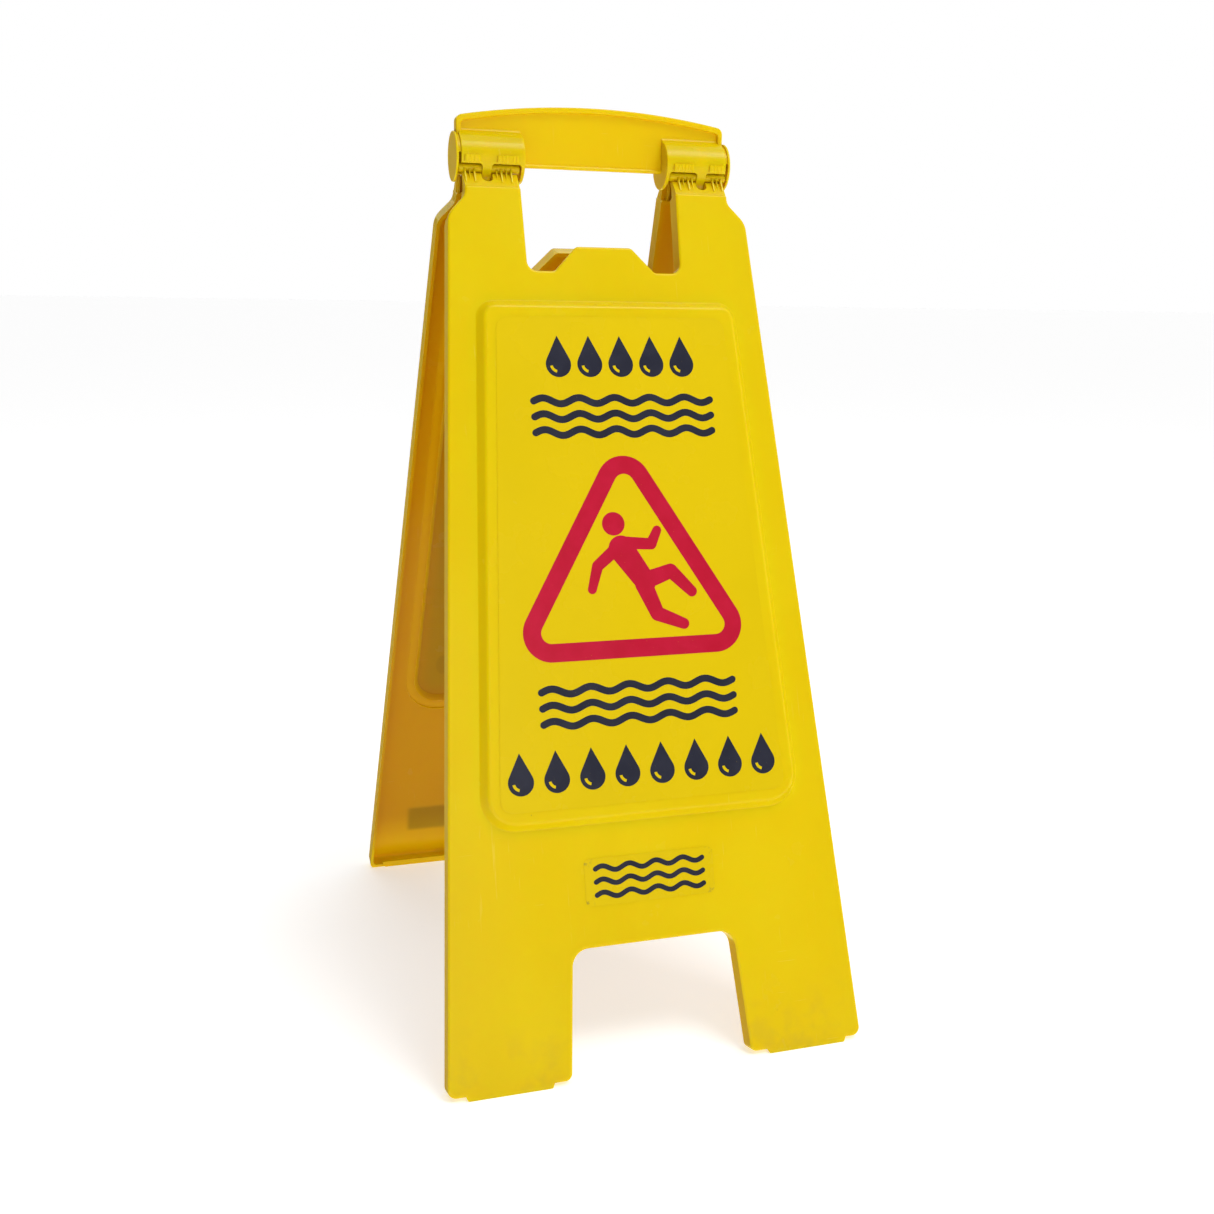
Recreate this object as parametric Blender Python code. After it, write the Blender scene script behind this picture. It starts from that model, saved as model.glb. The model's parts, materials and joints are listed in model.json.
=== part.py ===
"""A folding A-frame wet floor sign: a carry handle with two hinge drums, and two tray-shaped panels.

Units are metres, +Z is up, the front panel faces -Y, and the sign stands on Z = 0.

A panel is drawn in its own coordinates: x across, height up the panel from its feet, and depth from the
outer face towards the inside. The raised message field therefore has negative depths. Each panel hangs
from an empty on its hinge axis. At zero rotation the panel is vertical, which is the folded sign.
"""

import math

import bmesh
import bpy
from mathutils import Matrix, Vector

# Stance
OPEN_ANGLE = math.radians(17.3)
FLOOR_CLEARANCE = 0.0007

# How far a cutter reaches past the surface it cuts
OVERCUT = 0.002

# Panel tray
PANEL_DEPTH = 0.014
SHEET = 0.0025
EDGE_ROUND = 0.0016
FOOT_HALF_WIDTH = 0.1506
LEG_BOTTOM = 0.003
LEG_FLOOR_WALL_TOP = 0.008
NOTCH_TOP = 0.0898
NOTCH_HALF_WIDTH = 0.0584
NOTCH_FOOT_HALF_WIDTH = 0.0653
SHOULDER_HALF_WIDTH = 0.1095
SHOULDER_HEIGHT = 0.598
EAR_OUTER = 0.0965
EAR_INNER = 0.057
EAR_FOOT = 0.612
EAR_TOP = 0.6185
SLOT_FLOOR = 0.5597
SLOT_HALF_WIDTH = 0.056
TAB_FOOT = 0.0368
TAB_TOP_HALF_WIDTH = 0.0202
TAB_HEIGHT = 0.5775
NOTCH_RADIUS = 0.012
LEG_INNER_RADIUS = 0.005
LEG_OUTER_RADIUS = 0.006
SHOULDER_RADIUS = 0.016
EAR_FOOT_RADIUS = 0.009
EAR_TOP_RADIUS = 0.002
SLOT_RADIUS = 0.007
TAB_FOOT_RADIUS = 0.004
TAB_TOP_RADIUS = 0.005
CORNER_STEPS = 4

# Foot pads
PAD_INNER = 0.0791
PAD_OUTER = 0.137
PAD_TOP = 0.006

# Raised message field
FIELD_BOTTOM = 0.1732
FIELD_TOP = 0.5389
FIELD_BOTTOM_HALF_WIDTH = 0.1179
FIELD_TOP_HALF_WIDTH = 0.0953
FIELD_RISE = 0.0065
FIELD_WALL_WIDTH = 0.0075
FIELD_BOTTOM_RADIUS = 0.025
FIELD_TOP_RADIUS = 0.014
FIELD_CHAMFER = 0.0013
FIELD_CHAMFER_WIDTH = 0.0029
RECESS_SETBACK = 0.009
RECESS_SLOPE_SETBACK = 0.0062

# Hinge pins and the lugs that carry them
PIN_HEIGHT = 0.6336
PIN_SETBACK = 0.0086
PIN_RADIUS = 0.0032
PIN_START = 0.0554
PIN_END = 0.0987
RUNNING_GAP = 0.0003
LEDGE_START = 0.0018
LEDGE_RISE = 0.001
LEDGE_ROOT = 0.002
LEDGE_END_SETBACK = 0.0006
LEDGE_SEAT_AHEAD = 0.0016
LEDGE_SEAT_BEHIND = 0.002
LUG_NOSE = (0.0032, 0.004)
LUG_FRONT_AHEAD = 0.0026
LUG_FRONT_BELOW = 0.0016
LUG_TOP_ABOVE = 0.002
LUG_TOP_BEHIND = 0.001
LUG_BACK_BEHIND = 0.0046
LUG_PLACES = (0.062, 0.069, 0.088, 0.0945)
LUG_THICKNESS = 0.0013
HOOP_CENTRE = 0.079
HOOP_WIDTH = 0.0064
EAR_NOTCH_WIDTH = 0.0084
EAR_NOTCH_BOTTOM = 0.0111

# Handle and its drums
HINGE_Y = 0.0098
DRUM_ABOVE_PIN = 0.0077
DRUM_RADIUS = 0.017
DRUM_WALL = 0.0019
DRUM_INNER_FACE = 0.0522
DRUM_INNER_DISC = 0.0024
DRUM_SHELL_END = 0.0972
END_DISC_START = 0.099
END_DISC_END = 0.1008
LIP_ANGLE = math.radians(-17)
PIN_MOUTH_WIDTH = 0.0056
HOOP_GAP_HALF_WIDTH = 0.0042
GRIP_HALF_WIDTH = 0.0985
GRIP_BOTTOM = -0.0057
GRIP_CORNER_TOP = 0.0273
GRIP_PEAK = 0.0363
GRIP_PLATE = 0.0032
GRIP_RIM_DEPTH = 0.009
GRIP_RIM_WIDTH = 0.0036
GRIP_RIM_FOOT = 0.0125
GRIP_RADIUS = 0.005
GRIP_POCKET_RADIUS = 0.003
GRIP_BEAD_HEIGHT = 0.0022
GRIP_BEAD_DEPTH = 0.0058
END_WEB_BOTTOM = -0.012
END_WEB_TOP = 0.014
WELD = 0.0006

# Labels
LABEL_THICKNESS = 0.0003
LABEL_GAP = 0.0003
MESSAGE_MARGIN = 0.006
MESSAGE_RADIUS = 0.009
LOWER_LABEL_RADIUS = 0.004
LOWER_LABEL_HALF_WIDTH = 0.047
LOWER_LABEL_BOTTOM = 0.118
LOWER_LABEL_TOP = 0.1505
LEG_LABEL_INNER = 0.069
LEG_LABEL_OUTER = 0.115
LEG_LABEL_BOTTOM = 0.036
LEG_LABEL_TOP = 0.061
LEG_LABEL_RADIUS = 0.002

HINGE_Z = PIN_HEIGHT * math.cos(OPEN_ANGLE) - PIN_SETBACK * math.sin(OPEN_ANGLE)

YELLOW = (0.84, 0.60, 0.005, 1)
LABEL_YELLOW = (0.80, 0.58, 0.01, 1)
PIN_YELLOW = (0.78, 0.52, 0.004, 1)
LOWER_LABEL_YELLOW = (0.82, 0.59, 0.01, 1)
LEG_LABEL_WHITE = (0.75, 0.74, 0.70, 1)


def clear_scene():
    for obj in list(bpy.data.objects):
        bpy.data.objects.remove(obj, do_unlink=True)


def make_material(name, colour, roughness):
    material = bpy.data.materials.new(name)
    material.use_nodes = True
    shader = material.node_tree.nodes["Principled BSDF"]
    shader.inputs["Base Color"].default_value = colour
    shader.inputs["Roughness"].default_value = roughness
    shader.inputs["Metallic"].default_value = 0.0
    return material


def inset(corners, distance):
    """Moves each side of an anticlockwise outline inwards, and keeps its round corners concentric."""
    moved = []
    count = len(corners)
    for index, (x, z, radius) in enumerate(corners):
        here = Vector((x, z))
        arriving = (here - Vector(corners[index - 1][:2])).normalized()
        leaving = (Vector(corners[(index + 1) % count][:2]) - here).normalized()
        bisector = (arriving.orthogonal() + leaving.orthogonal()).normalized()
        reach = distance / bisector.dot(arriving.orthogonal())
        place = here + bisector * reach
        convex = arriving.cross(leaving) > 0
        if radius > 0:
            radius = max(radius - distance if convex else radius + distance, 0.0004)
        moved.append((place.x, place.y, radius))
    return moved


def rounded(corners, steps=5):
    """Points of an outline whose corners are (x, z, radius), each replaced by an arc of that radius."""
    points = []
    count = len(corners)
    for index, (x, z, radius) in enumerate(corners):
        here = Vector((x, z))
        if radius == 0:
            points.append(here)
            continue
        back = (Vector(corners[index - 1][:2]) - here).normalized()
        ahead = (Vector(corners[(index + 1) % count][:2]) - here).normalized()
        half = back.angle(ahead) / 2
        centre = here + (back + ahead).normalized() * (radius / math.sin(half))
        first = here + back * (radius / math.tan(half)) - centre
        last = here + ahead * (radius / math.tan(half)) - centre
        turn = math.atan2(first.cross(last), first.dot(last))
        for step in range(steps + 1):
            points.append(centre + Matrix.Rotation(turn * step / steps, 2) @ first)
    return points


def circle(radius, steps=24, centre=(0, 0)):
    turns = (2 * math.pi * step / steps for step in range(steps))
    return [Vector((radius * math.cos(a), radius * math.sin(a))) + Vector(centre) for a in turns]


def loft(name, sections, along="Y"):
    """A closed solid through outlines [(points, position)], stacked along Y or along X."""
    shape = bmesh.new()
    rings = []
    for points, position in sections:
        if along == "Y":
            ring = [shape.verts.new((p.x, position, p.y)) for p in points]
        else:
            ring = [shape.verts.new((position, p.x, p.y)) for p in points]
        rings.append(ring)
    for lower, upper in zip(rings, rings[1:]):
        for index in range(len(lower)):
            following = (index + 1) % len(lower)
            shape.faces.new((lower[index], lower[following], upper[following], upper[index]))
    shape.faces.new(rings[0])
    shape.faces.new(rings[-1])
    bmesh.ops.recalc_face_normals(shape, faces=shape.faces)
    mesh = bpy.data.meshes.new(name)
    shape.to_mesh(mesh)
    shape.free()
    obj = bpy.data.objects.new(name, mesh)
    bpy.context.scene.collection.objects.link(obj)
    return obj


def combine(base, tools, operation):
    """Joins the tools to the base, or cuts them out of it, and removes them."""
    for tool in tools:
        boolean = base.modifiers.new(tool.name, "BOOLEAN")
        boolean.operation = operation
        boolean.object = tool
    bpy.context.view_layer.update()
    evaluated = base.evaluated_get(bpy.context.evaluated_depsgraph_get())
    result = bpy.data.meshes.new_from_object(evaluated)
    base.modifiers.clear()
    base.data = result
    for tool in tools:
        bpy.data.objects.remove(tool, do_unlink=True)
    return base


def mirrored(half):
    """The whole outline from the corners of its right half, listed from the bottom to the top."""
    return half + [(-x, z, radius) for x, z, radius in reversed(half)]


def tray_corners():
    return mirrored([
        (NOTCH_HALF_WIDTH, NOTCH_TOP, NOTCH_RADIUS),
        (NOTCH_FOOT_HALF_WIDTH, LEG_BOTTOM, LEG_INNER_RADIUS),
        (FOOT_HALF_WIDTH, LEG_BOTTOM, LEG_OUTER_RADIUS),
        (SHOULDER_HALF_WIDTH, SHOULDER_HEIGHT, SHOULDER_RADIUS),
        (EAR_OUTER, EAR_FOOT, EAR_FOOT_RADIUS),
        (EAR_OUTER, EAR_TOP, EAR_TOP_RADIUS),
        (EAR_INNER, EAR_TOP, EAR_TOP_RADIUS),
        (SLOT_HALF_WIDTH, SLOT_FLOOR, SLOT_RADIUS),
        (TAB_FOOT, SLOT_FLOOR, TAB_FOOT_RADIUS),
        (TAB_TOP_HALF_WIDTH, TAB_HEIGHT, TAB_TOP_RADIUS),
    ])


def field_corners():
    return [
        (-FIELD_BOTTOM_HALF_WIDTH, FIELD_BOTTOM, FIELD_BOTTOM_RADIUS),
        (FIELD_BOTTOM_HALF_WIDTH, FIELD_BOTTOM, FIELD_BOTTOM_RADIUS),
        (FIELD_TOP_HALF_WIDTH, FIELD_TOP, FIELD_TOP_RADIUS),
        (-FIELD_TOP_HALF_WIDTH, FIELD_TOP, FIELD_TOP_RADIUS),
    ]


def stack(corners, steps, profile):
    """Sections of one outline, from a profile of (inset, depth)."""
    return [(rounded(inset(corners, distance), steps), depth) for distance, depth in profile]


def floor_height(depth, clearance=0.0):
    """How far up the panel the floor plane, raised by the clearance, meets a given depth when open."""
    return clearance / math.cos(OPEN_ANGLE) + depth * math.tan(OPEN_ANGLE)


def floor_wedge(x_ends, depths, level, clearance):
    """A solid between the sloping floor plane and one level of the panel, over a range of depths."""
    near, far = depths
    profile = [
        Vector((near, floor_height(near, clearance))),
        Vector((far, floor_height(far, clearance))),
        Vector((far, level)),
        Vector((near, level)),
    ]
    return loft("floor_wedge", [(profile, x) for x in x_ends], along="X")


def ear_ledge(side):
    """The sloping ledge above an ear, which rises from the outer face to just under the pin."""
    top = PIN_HEIGHT - PIN_RADIUS - 3 * RUNNING_GAP
    profile = [
        Vector((LEDGE_END_SETBACK, EAR_TOP - LEDGE_ROOT)),
        Vector((PIN_SETBACK + LEDGE_SEAT_BEHIND, EAR_TOP - LEDGE_ROOT)),
        Vector((PIN_SETBACK + LEDGE_SEAT_BEHIND, top)),
        Vector((PIN_SETBACK - LEDGE_SEAT_AHEAD, top)),
        Vector((LEDGE_START, EAR_TOP + LEDGE_RISE)),
    ]
    ends = sorted((side * (EAR_INNER + LEDGE_END_SETBACK), side * (EAR_OUTER - LEDGE_END_SETBACK)))
    return loft("ledge", [(profile, ends[0]), (profile, ends[1])], along="X")


def lug(centre):
    """A thin fin on the ledge, which cradles the pin from below and behind."""
    nose_depth, nose_rise = LUG_NOSE
    profile = [
        Vector((nose_depth + LEDGE_RISE, EAR_TOP - LEDGE_RISE)),
        Vector((PIN_SETBACK + LUG_BACK_BEHIND, EAR_TOP - LEDGE_RISE)),
        Vector((PIN_SETBACK + LUG_BACK_BEHIND, PIN_HEIGHT + LUG_TOP_ABOVE)),
        Vector((PIN_SETBACK + LUG_TOP_BEHIND, PIN_HEIGHT + LUG_TOP_ABOVE)),
        Vector((PIN_SETBACK - LUG_FRONT_AHEAD, PIN_HEIGHT - LUG_FRONT_BELOW)),
        Vector((nose_depth, EAR_TOP + nose_rise)),
    ]
    half = LUG_THICKNESS / 2
    return loft("lug", [(profile, centre - half), (profile, centre + half)], along="X")


def ear_notch(side):
    """A round-bottomed gap in the ledge, through which the handle's hoop passes."""
    half = EAR_NOTCH_WIDTH / 2
    bottom = PIN_HEIGHT - EAR_NOTCH_BOTTOM
    centre = side * HOOP_CENTRE
    top = PIN_HEIGHT + LUG_TOP_ABOVE + OVERCUT
    corners = [
        (centre - half, bottom, half * 0.95),
        (centre + half, bottom, half * 0.95),
        (centre + half, top, 0),
        (centre - half, top, 0),
    ]
    points = rounded(corners)
    return loft("ear_notch", [(points, -OVERCUT), (points, PIN_SETBACK + LUG_BACK_BEHIND)])


def panel_mesh():
    """One moulded panel, with its hinge axis along X through the origin."""
    tray = tray_corners()
    outer = [
        (0, PANEL_DEPTH),
        (0, EDGE_ROUND),
        (EDGE_ROUND * 0.3, EDGE_ROUND * 0.3),
        (EDGE_ROUND, 0),
    ]
    panel = loft("panel_shape", stack(tray, CORNER_STEPS, outer))

    hollow = [
        (x, max(z, LEG_FLOOR_WALL_TOP), radius) for x, z, radius in inset(tray, SHEET)
    ]
    points = rounded(hollow, CORNER_STEPS)
    hollow_cutter = loft("hollow", [(points, PANEL_DEPTH + OVERCUT), (points, SHEET)])
    past_foot = FOOT_HALF_WIDTH + OVERCUT
    floor_depths = (-OVERCUT, PANEL_DEPTH + OVERCUT)
    floor_cutter = floor_wedge((-past_foot, past_foot), floor_depths, -OVERCUT, FLOOR_CLEARANCE)
    combine(panel, [hollow_cutter, floor_cutter], "DIFFERENCE")

    rise = [
        (0, SHEET / 2),
        (0, 0),
        (FIELD_CHAMFER, -FIELD_CHAMFER),
        (FIELD_WALL_WIDTH - FIELD_CHAMFER_WIDTH, FIELD_CHAMFER - FIELD_RISE),
        (FIELD_WALL_WIDTH, -FIELD_RISE),
    ]
    recess = [
        (SHEET - FIELD_CHAMFER / 2, SHEET + OVERCUT),
        (SHEET, SHEET - FIELD_CHAMFER),
        (RECESS_SLOPE_SETBACK, SHEET + FIELD_CHAMFER - FIELD_RISE),
        (RECESS_SETBACK, SHEET - FIELD_RISE),
    ]
    field = loft("field", stack(field_corners(), 6, rise))
    pads = [
        floor_wedge(ends, (0, PANEL_DEPTH), PAD_TOP, 0)
        for ends in ((PAD_INNER, PAD_OUTER), (-PAD_OUTER, -PAD_INNER))
    ]
    ledges = [ear_ledge(side) for side in (-1, 1)]
    combine(panel, [field] + pads + ledges, "UNION")
    field_recess = loft("recess", stack(field_corners(), 6, recess))
    notches = [ear_notch(side) for side in (-1, 1)]
    combine(panel, [field_recess] + notches, "DIFFERENCE")

    lugs = [lug(side * place) for side in (-1, 1) for place in LUG_PLACES]
    combine(panel, lugs, "UNION")
    bore = circle(PIN_RADIUS + RUNNING_GAP, centre=(PIN_SETBACK, PIN_HEIGHT))
    bore_end = EAR_OUTER + OVERCUT
    bore_cutter = loft("bore", [(bore, -bore_end), (bore, bore_end)], along="X")
    combine(panel, [bore_cutter], "DIFFERENCE")

    panel.data.transform(Matrix.Translation((0, -PIN_SETBACK, -PIN_HEIGHT)))
    return take_mesh(panel)


def take_mesh(obj):
    mesh = obj.data
    bpy.data.objects.remove(obj, do_unlink=True)
    return mesh


def label_mesh(corners, face_depth):
    """A thin label that lies just in front of the face at that depth."""
    back = face_depth - LABEL_GAP
    points = rounded(corners)
    label = loft("label_shape", [(points, back), (points, back - LABEL_THICKNESS)])
    label.data.transform(Matrix.Translation((0, -PIN_SETBACK, -PIN_HEIGHT)))
    return take_mesh(label)


def message_label_mesh():
    corners = inset(field_corners(), FIELD_WALL_WIDTH + MESSAGE_MARGIN)
    return label_mesh([(x, z, MESSAGE_RADIUS) for x, z, _ in corners], -FIELD_RISE)


def sheet_label_mesh(left, bottom, right, top, radius):
    """A rectangular label on the panel's flat sheet."""
    corners = [(left, bottom, radius), (right, bottom, radius), (right, top, radius), (left, top, radius)]
    return label_mesh(corners, 0)


def lower_label_mesh():
    half = LOWER_LABEL_HALF_WIDTH
    return sheet_label_mesh(-half, LOWER_LABEL_BOTTOM, half, LOWER_LABEL_TOP, LOWER_LABEL_RADIUS)


def leg_label_mesh():
    return sheet_label_mesh(
        LEG_LABEL_INNER, LEG_LABEL_BOTTOM, LEG_LABEL_OUTER, LEG_LABEL_TOP, LEG_LABEL_RADIUS)


def pin_mesh(side):
    points = circle(PIN_RADIUS, 20)
    ends = sorted((side * PIN_START, side * PIN_END))
    return take_mesh(loft("pin_shape", [(points, ends[0]), (points, ends[1])], along="X"))


def arch_corners(half_width, foot, corner_top, peak, corner_radius):
    """A plate with a straight foot, upright ends and an arched top."""
    arch = []
    steps = 12
    for step in range(1, steps):
        x = half_width * (1 - 2 * step / steps)
        arch.append((x, corner_top + (peak - corner_top) * (1 - (x / half_width) ** 2), 0))
    return [
        (-half_width, foot, 0),
        (half_width, foot, 0),
        (half_width, corner_top, corner_radius),
        *arch,
        (-half_width, corner_top, corner_radius),
    ]


def plate(corners, depth):
    points = rounded(corners)
    return loft("plate", [(points, -depth / 2), (points, depth / 2)])


def grip():
    """The arched grip: a thin plate with a deep rim along its top and ends, and a bead below."""
    whole = arch_corners(GRIP_HALF_WIDTH, GRIP_BOTTOM, GRIP_CORNER_TOP, GRIP_PEAK, GRIP_RADIUS)
    upper = arch_corners(GRIP_HALF_WIDTH, GRIP_RIM_FOOT, GRIP_CORNER_TOP, GRIP_PEAK, GRIP_RADIUS)
    pocket = arch_corners(
        GRIP_HALF_WIDTH - GRIP_RIM_WIDTH,
        0,
        GRIP_CORNER_TOP - GRIP_RIM_WIDTH,
        GRIP_PEAK - GRIP_RIM_WIDTH,
        GRIP_POCKET_RADIUS,
    )
    rim = plate(upper, GRIP_RIM_DEPTH)
    combine(rim, [plate(pocket, 2 * GRIP_RIM_DEPTH)], "DIFFERENCE")
    half = DRUM_INNER_FACE + WELD
    bead_corners = [
        (-half, GRIP_BOTTOM, 0),
        (half, GRIP_BOTTOM, 0),
        (half, GRIP_BOTTOM + GRIP_BEAD_HEIGHT, 0),
        (-half, GRIP_BOTTOM + GRIP_BEAD_HEIGHT, 0),
    ]
    bead = plate(bead_corners, GRIP_BEAD_DEPTH)
    return combine(plate(whole, GRIP_PLATE), [rim, bead], "UNION")


def drum_shell(side):
    """The curved wall of a drum: it covers the top, and ends in a lip above each pin."""
    steps = 22
    start = LIP_ANGLE
    sweep = math.pi - 2 * start
    turns = [start + sweep * step / steps for step in range(steps + 1)]
    outside = [Vector((math.cos(a), math.sin(a))) * DRUM_RADIUS for a in turns]
    inside = [Vector((math.cos(a), math.sin(a))) * (DRUM_RADIUS - DRUM_WALL) for a in turns]
    points = outside + inside[::-1]
    ends = sorted((side * (DRUM_INNER_FACE + WELD), side * DRUM_SHELL_END))
    return loft("shell", [(points, ends[0]), (points, ends[1])], along="X")


def disc(side, start, end):
    points = circle(DRUM_RADIUS, 44)
    ends = sorted((side * start, side * end))
    return loft("disc", [(points, ends[0]), (points, ends[1])], along="X")


def end_web(side):
    """The short web that carries the end disc, across the gap beyond the shell."""
    half = GRIP_PLATE / 2
    points = [
        Vector((-half, END_WEB_BOTTOM)),
        Vector((half, END_WEB_BOTTOM)),
        Vector((half, END_WEB_TOP)),
        Vector((-half, END_WEB_TOP)),
    ]
    ends = sorted((side * (GRIP_HALF_WIDTH - GRIP_RADIUS), side * (END_DISC_START + WELD)))
    return loft("end_web", [(points, ends[0]), (points, ends[1])], along="X")


def pin_cutter(side, facing):
    """Clearance for one pin through the hoop."""
    centre = (facing * HINGE_Y, -DRUM_ABOVE_PIN)
    return hoop_cutter("pin_clearance", side, circle(PIN_RADIUS + RUNNING_GAP, 24, centre))


def mouth_cutter(side):
    """The gap in the hoop's underside and the two mouths off it, through which the pins snap in."""
    top = -DRUM_ABOVE_PIN + PIN_MOUTH_WIDTH / 2
    bottom = -DRUM_ABOVE_PIN - PIN_MOUTH_WIDTH / 2
    low = -DRUM_RADIUS - OVERCUT
    points = [
        Vector((-HOOP_GAP_HALF_WIDTH, low)),
        Vector((HOOP_GAP_HALF_WIDTH, low)),
        Vector((HOOP_GAP_HALF_WIDTH, bottom)),
        Vector((HINGE_Y, bottom)),
        Vector((HINGE_Y, top)),
        Vector((-HINGE_Y, top)),
        Vector((-HINGE_Y, bottom)),
        Vector((-HOOP_GAP_HALF_WIDTH, bottom)),
    ]
    return hoop_cutter("mouth", side, points)


def hoop_cutter(name, side, points):
    reach = HOOP_WIDTH / 2 + OVERCUT
    ends = sorted((side * (HOOP_CENTRE - reach), side * (HOOP_CENTRE + reach)))
    return loft(name, [(points, x) for x in ends], along="X")


def handle_mesh():
    """The one-piece handle, with the drums' common axis along X through the origin."""
    handle = grip()
    hoop = (HOOP_CENTRE - HOOP_WIDTH / 2, HOOP_CENTRE + HOOP_WIDTH / 2)
    added = []
    cut = []
    for side in (-1, 1):
        added.append(drum_shell(side))
        added.append(disc(side, DRUM_INNER_FACE, DRUM_INNER_FACE + DRUM_INNER_DISC))
        added.append(disc(side, *hoop))
        added.append(disc(side, END_DISC_START, END_DISC_END))
        added.append(end_web(side))
        cut.append(mouth_cutter(side))
        for facing in (-1, 1):
            cut.append(pin_cutter(side, facing))
    combine(handle, added, "UNION")
    combine(handle, cut, "DIFFERENCE")
    return take_mesh(handle)


def add_piece(name, mesh, material, parent=None, location=(0, 0, 0)):
    obj = bpy.data.objects.new(name, mesh)
    obj.location = location
    obj.parent = parent
    mesh.materials.clear()
    mesh.materials.append(material)
    mesh.set_sharp_from_angle(angle=math.radians(30))
    bpy.context.scene.collection.objects.link(obj)
    return obj


def add_hinge(name, facing):
    """An empty on a panel's hinge axis, turned so that the panel stands open."""
    hinge = bpy.data.objects.new(name, None)
    hinge.location = (0, facing * HINGE_Y, HINGE_Z)
    turn = Matrix.Rotation(-OPEN_ANGLE, 3, "X")
    if facing > 0:
        turn = Matrix.Rotation(math.pi, 3, "Z") @ turn
    hinge.rotation_euler = turn.to_euler()
    bpy.context.scene.collection.objects.link(hinge)
    return hinge


def main():
    clear_scene()
    handle_plastic = make_material("handle_plastic", YELLOW, 0.32)
    add_piece("carry_handle", handle_mesh(), handle_plastic, None, (0, 0, HINGE_Z + DRUM_ABOVE_PIN))

    panel = panel_mesh()
    message_label = message_label_mesh()
    lower_label = lower_label_mesh()
    for name, facing in (("front", -1), ("rear", 1)):
        hinge = add_hinge(name + "_hinge_axis", facing)
        plastic = make_material(name + "_panel_plastic", YELLOW, 0.35)
        vinyl = make_material(name + "_message_vinyl", LABEL_YELLOW, 0.3)
        sticker = make_material(name + "_lower_vinyl", LOWER_LABEL_YELLOW, 0.3)
        pin_plastic = make_material(name + "_pin_plastic", PIN_YELLOW, 0.35)
        add_piece(name + "_panel", panel.copy(), plastic, hinge)
        add_piece(name + "_message_label", message_label.copy(), vinyl, hinge)
        add_piece(name + "_lower_label", lower_label.copy(), sticker, hinge)
        # The rear panel is turned round, so its own left is the sign's right.
        for end, side in (("left", facing), ("right", -facing)):
            add_piece(f"{name}_{end}_hinge_pin", pin_mesh(side), pin_plastic, hinge)
    leg_vinyl = make_material("leg_label_vinyl", LEG_LABEL_WHITE, 0.5)
    add_piece("rear_leg_label", leg_label_mesh(), leg_vinyl, hinge)


main()
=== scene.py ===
"""The looks of the folding wet floor sign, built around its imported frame.

A panel is drawn in its own coordinates, as in the CAD: x across, z up from its feet, and y from the outer
face inwards. Its mesh is then moved to its place in the open sign. Materials that follow a panel's features
turn the texture coordinates back into the panel's own.
"""

import json
import math

import bmesh
import bpy
from mathutils import Matrix, Vector, geometry


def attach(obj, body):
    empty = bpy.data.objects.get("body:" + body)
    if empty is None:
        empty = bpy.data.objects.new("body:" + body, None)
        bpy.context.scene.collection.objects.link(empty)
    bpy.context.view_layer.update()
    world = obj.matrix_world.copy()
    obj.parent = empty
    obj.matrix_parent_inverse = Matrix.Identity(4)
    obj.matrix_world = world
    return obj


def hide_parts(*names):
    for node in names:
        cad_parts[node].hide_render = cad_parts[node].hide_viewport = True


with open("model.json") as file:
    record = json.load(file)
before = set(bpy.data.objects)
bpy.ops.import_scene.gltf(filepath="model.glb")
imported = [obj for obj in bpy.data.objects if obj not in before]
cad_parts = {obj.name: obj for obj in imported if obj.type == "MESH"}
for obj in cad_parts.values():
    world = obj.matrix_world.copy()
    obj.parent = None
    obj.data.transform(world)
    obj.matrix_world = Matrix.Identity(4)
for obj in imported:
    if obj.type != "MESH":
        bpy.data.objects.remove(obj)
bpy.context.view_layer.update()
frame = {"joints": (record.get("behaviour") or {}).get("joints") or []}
JOINTS = {joint["name"]: joint for joint in frame["joints"]}
OPEN_ANGLE = math.radians(JOINTS["front_hinge"]["range_deg"][1])
HINGE_Y, HINGE_Z = JOINTS["rear_hinge"]["pos_m"][1:]

# Panel tray
OVERCUT = 0.002
FLOOR_CLEARANCE = 0.0007
PANEL_DEPTH = 0.014
SHEET = 0.0025
EDGE_ROUND = 0.0018
RIM_ROUND = 0.0004
FOOT_HALF_WIDTH = 0.1506
LEG_BOTTOM = 0.003
LEG_FLOOR_WALL_TOP = 0.008
NOTCH_TOP = 0.0898
NOTCH_HALF_WIDTH = 0.0584
NOTCH_FOOT_HALF_WIDTH = 0.0653
SHOULDER_HALF_WIDTH = 0.1095
SHOULDER_HEIGHT = 0.598
EAR_OUTER = 0.0965
EAR_INNER = 0.057
EAR_FOOT = 0.612
EAR_TOP = 0.6185
SLOT_FLOOR = 0.5597
SLOT_HALF_WIDTH = 0.056
TAB_FOOT = 0.0368
TAB_TOP_HALF_WIDTH = 0.0202
TAB_HEIGHT = 0.5775
PAD_INNER = 0.0791
PAD_OUTER = 0.137
PAD_TOP = 0.006
PAD_ROUND = 0.0015
PAD_FLARE = 0.0024
CORNER_STEPS = 12
SMALLEST_RADIUS = 0.0004

# Raised message field
FIELD_BOTTOM = 0.1732
FIELD_TOP = 0.5389
FIELD_BOTTOM_HALF_WIDTH = 0.1179
FIELD_TOP_HALF_WIDTH = 0.0953
FIELD_BOTTOM_RADIUS = 0.025
FIELD_TOP_RADIUS = 0.014
FIELD_RISE = 0.0065
FIELD_WALL_WIDTH = 0.0075
FIELD_WALL_ANGLE = math.radians(60)
FIELD_BASE_FILLET = 0.0018
FIELD_CROWN_FILLET = 0.0034
SHELF_WIDTH = 0.0040
SHELF_DEPTH = 0.0014
SHELF_EASE = 0.0004
FIELD_SINK = 0.00004
INNER_FILLET = 0.0028

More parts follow.
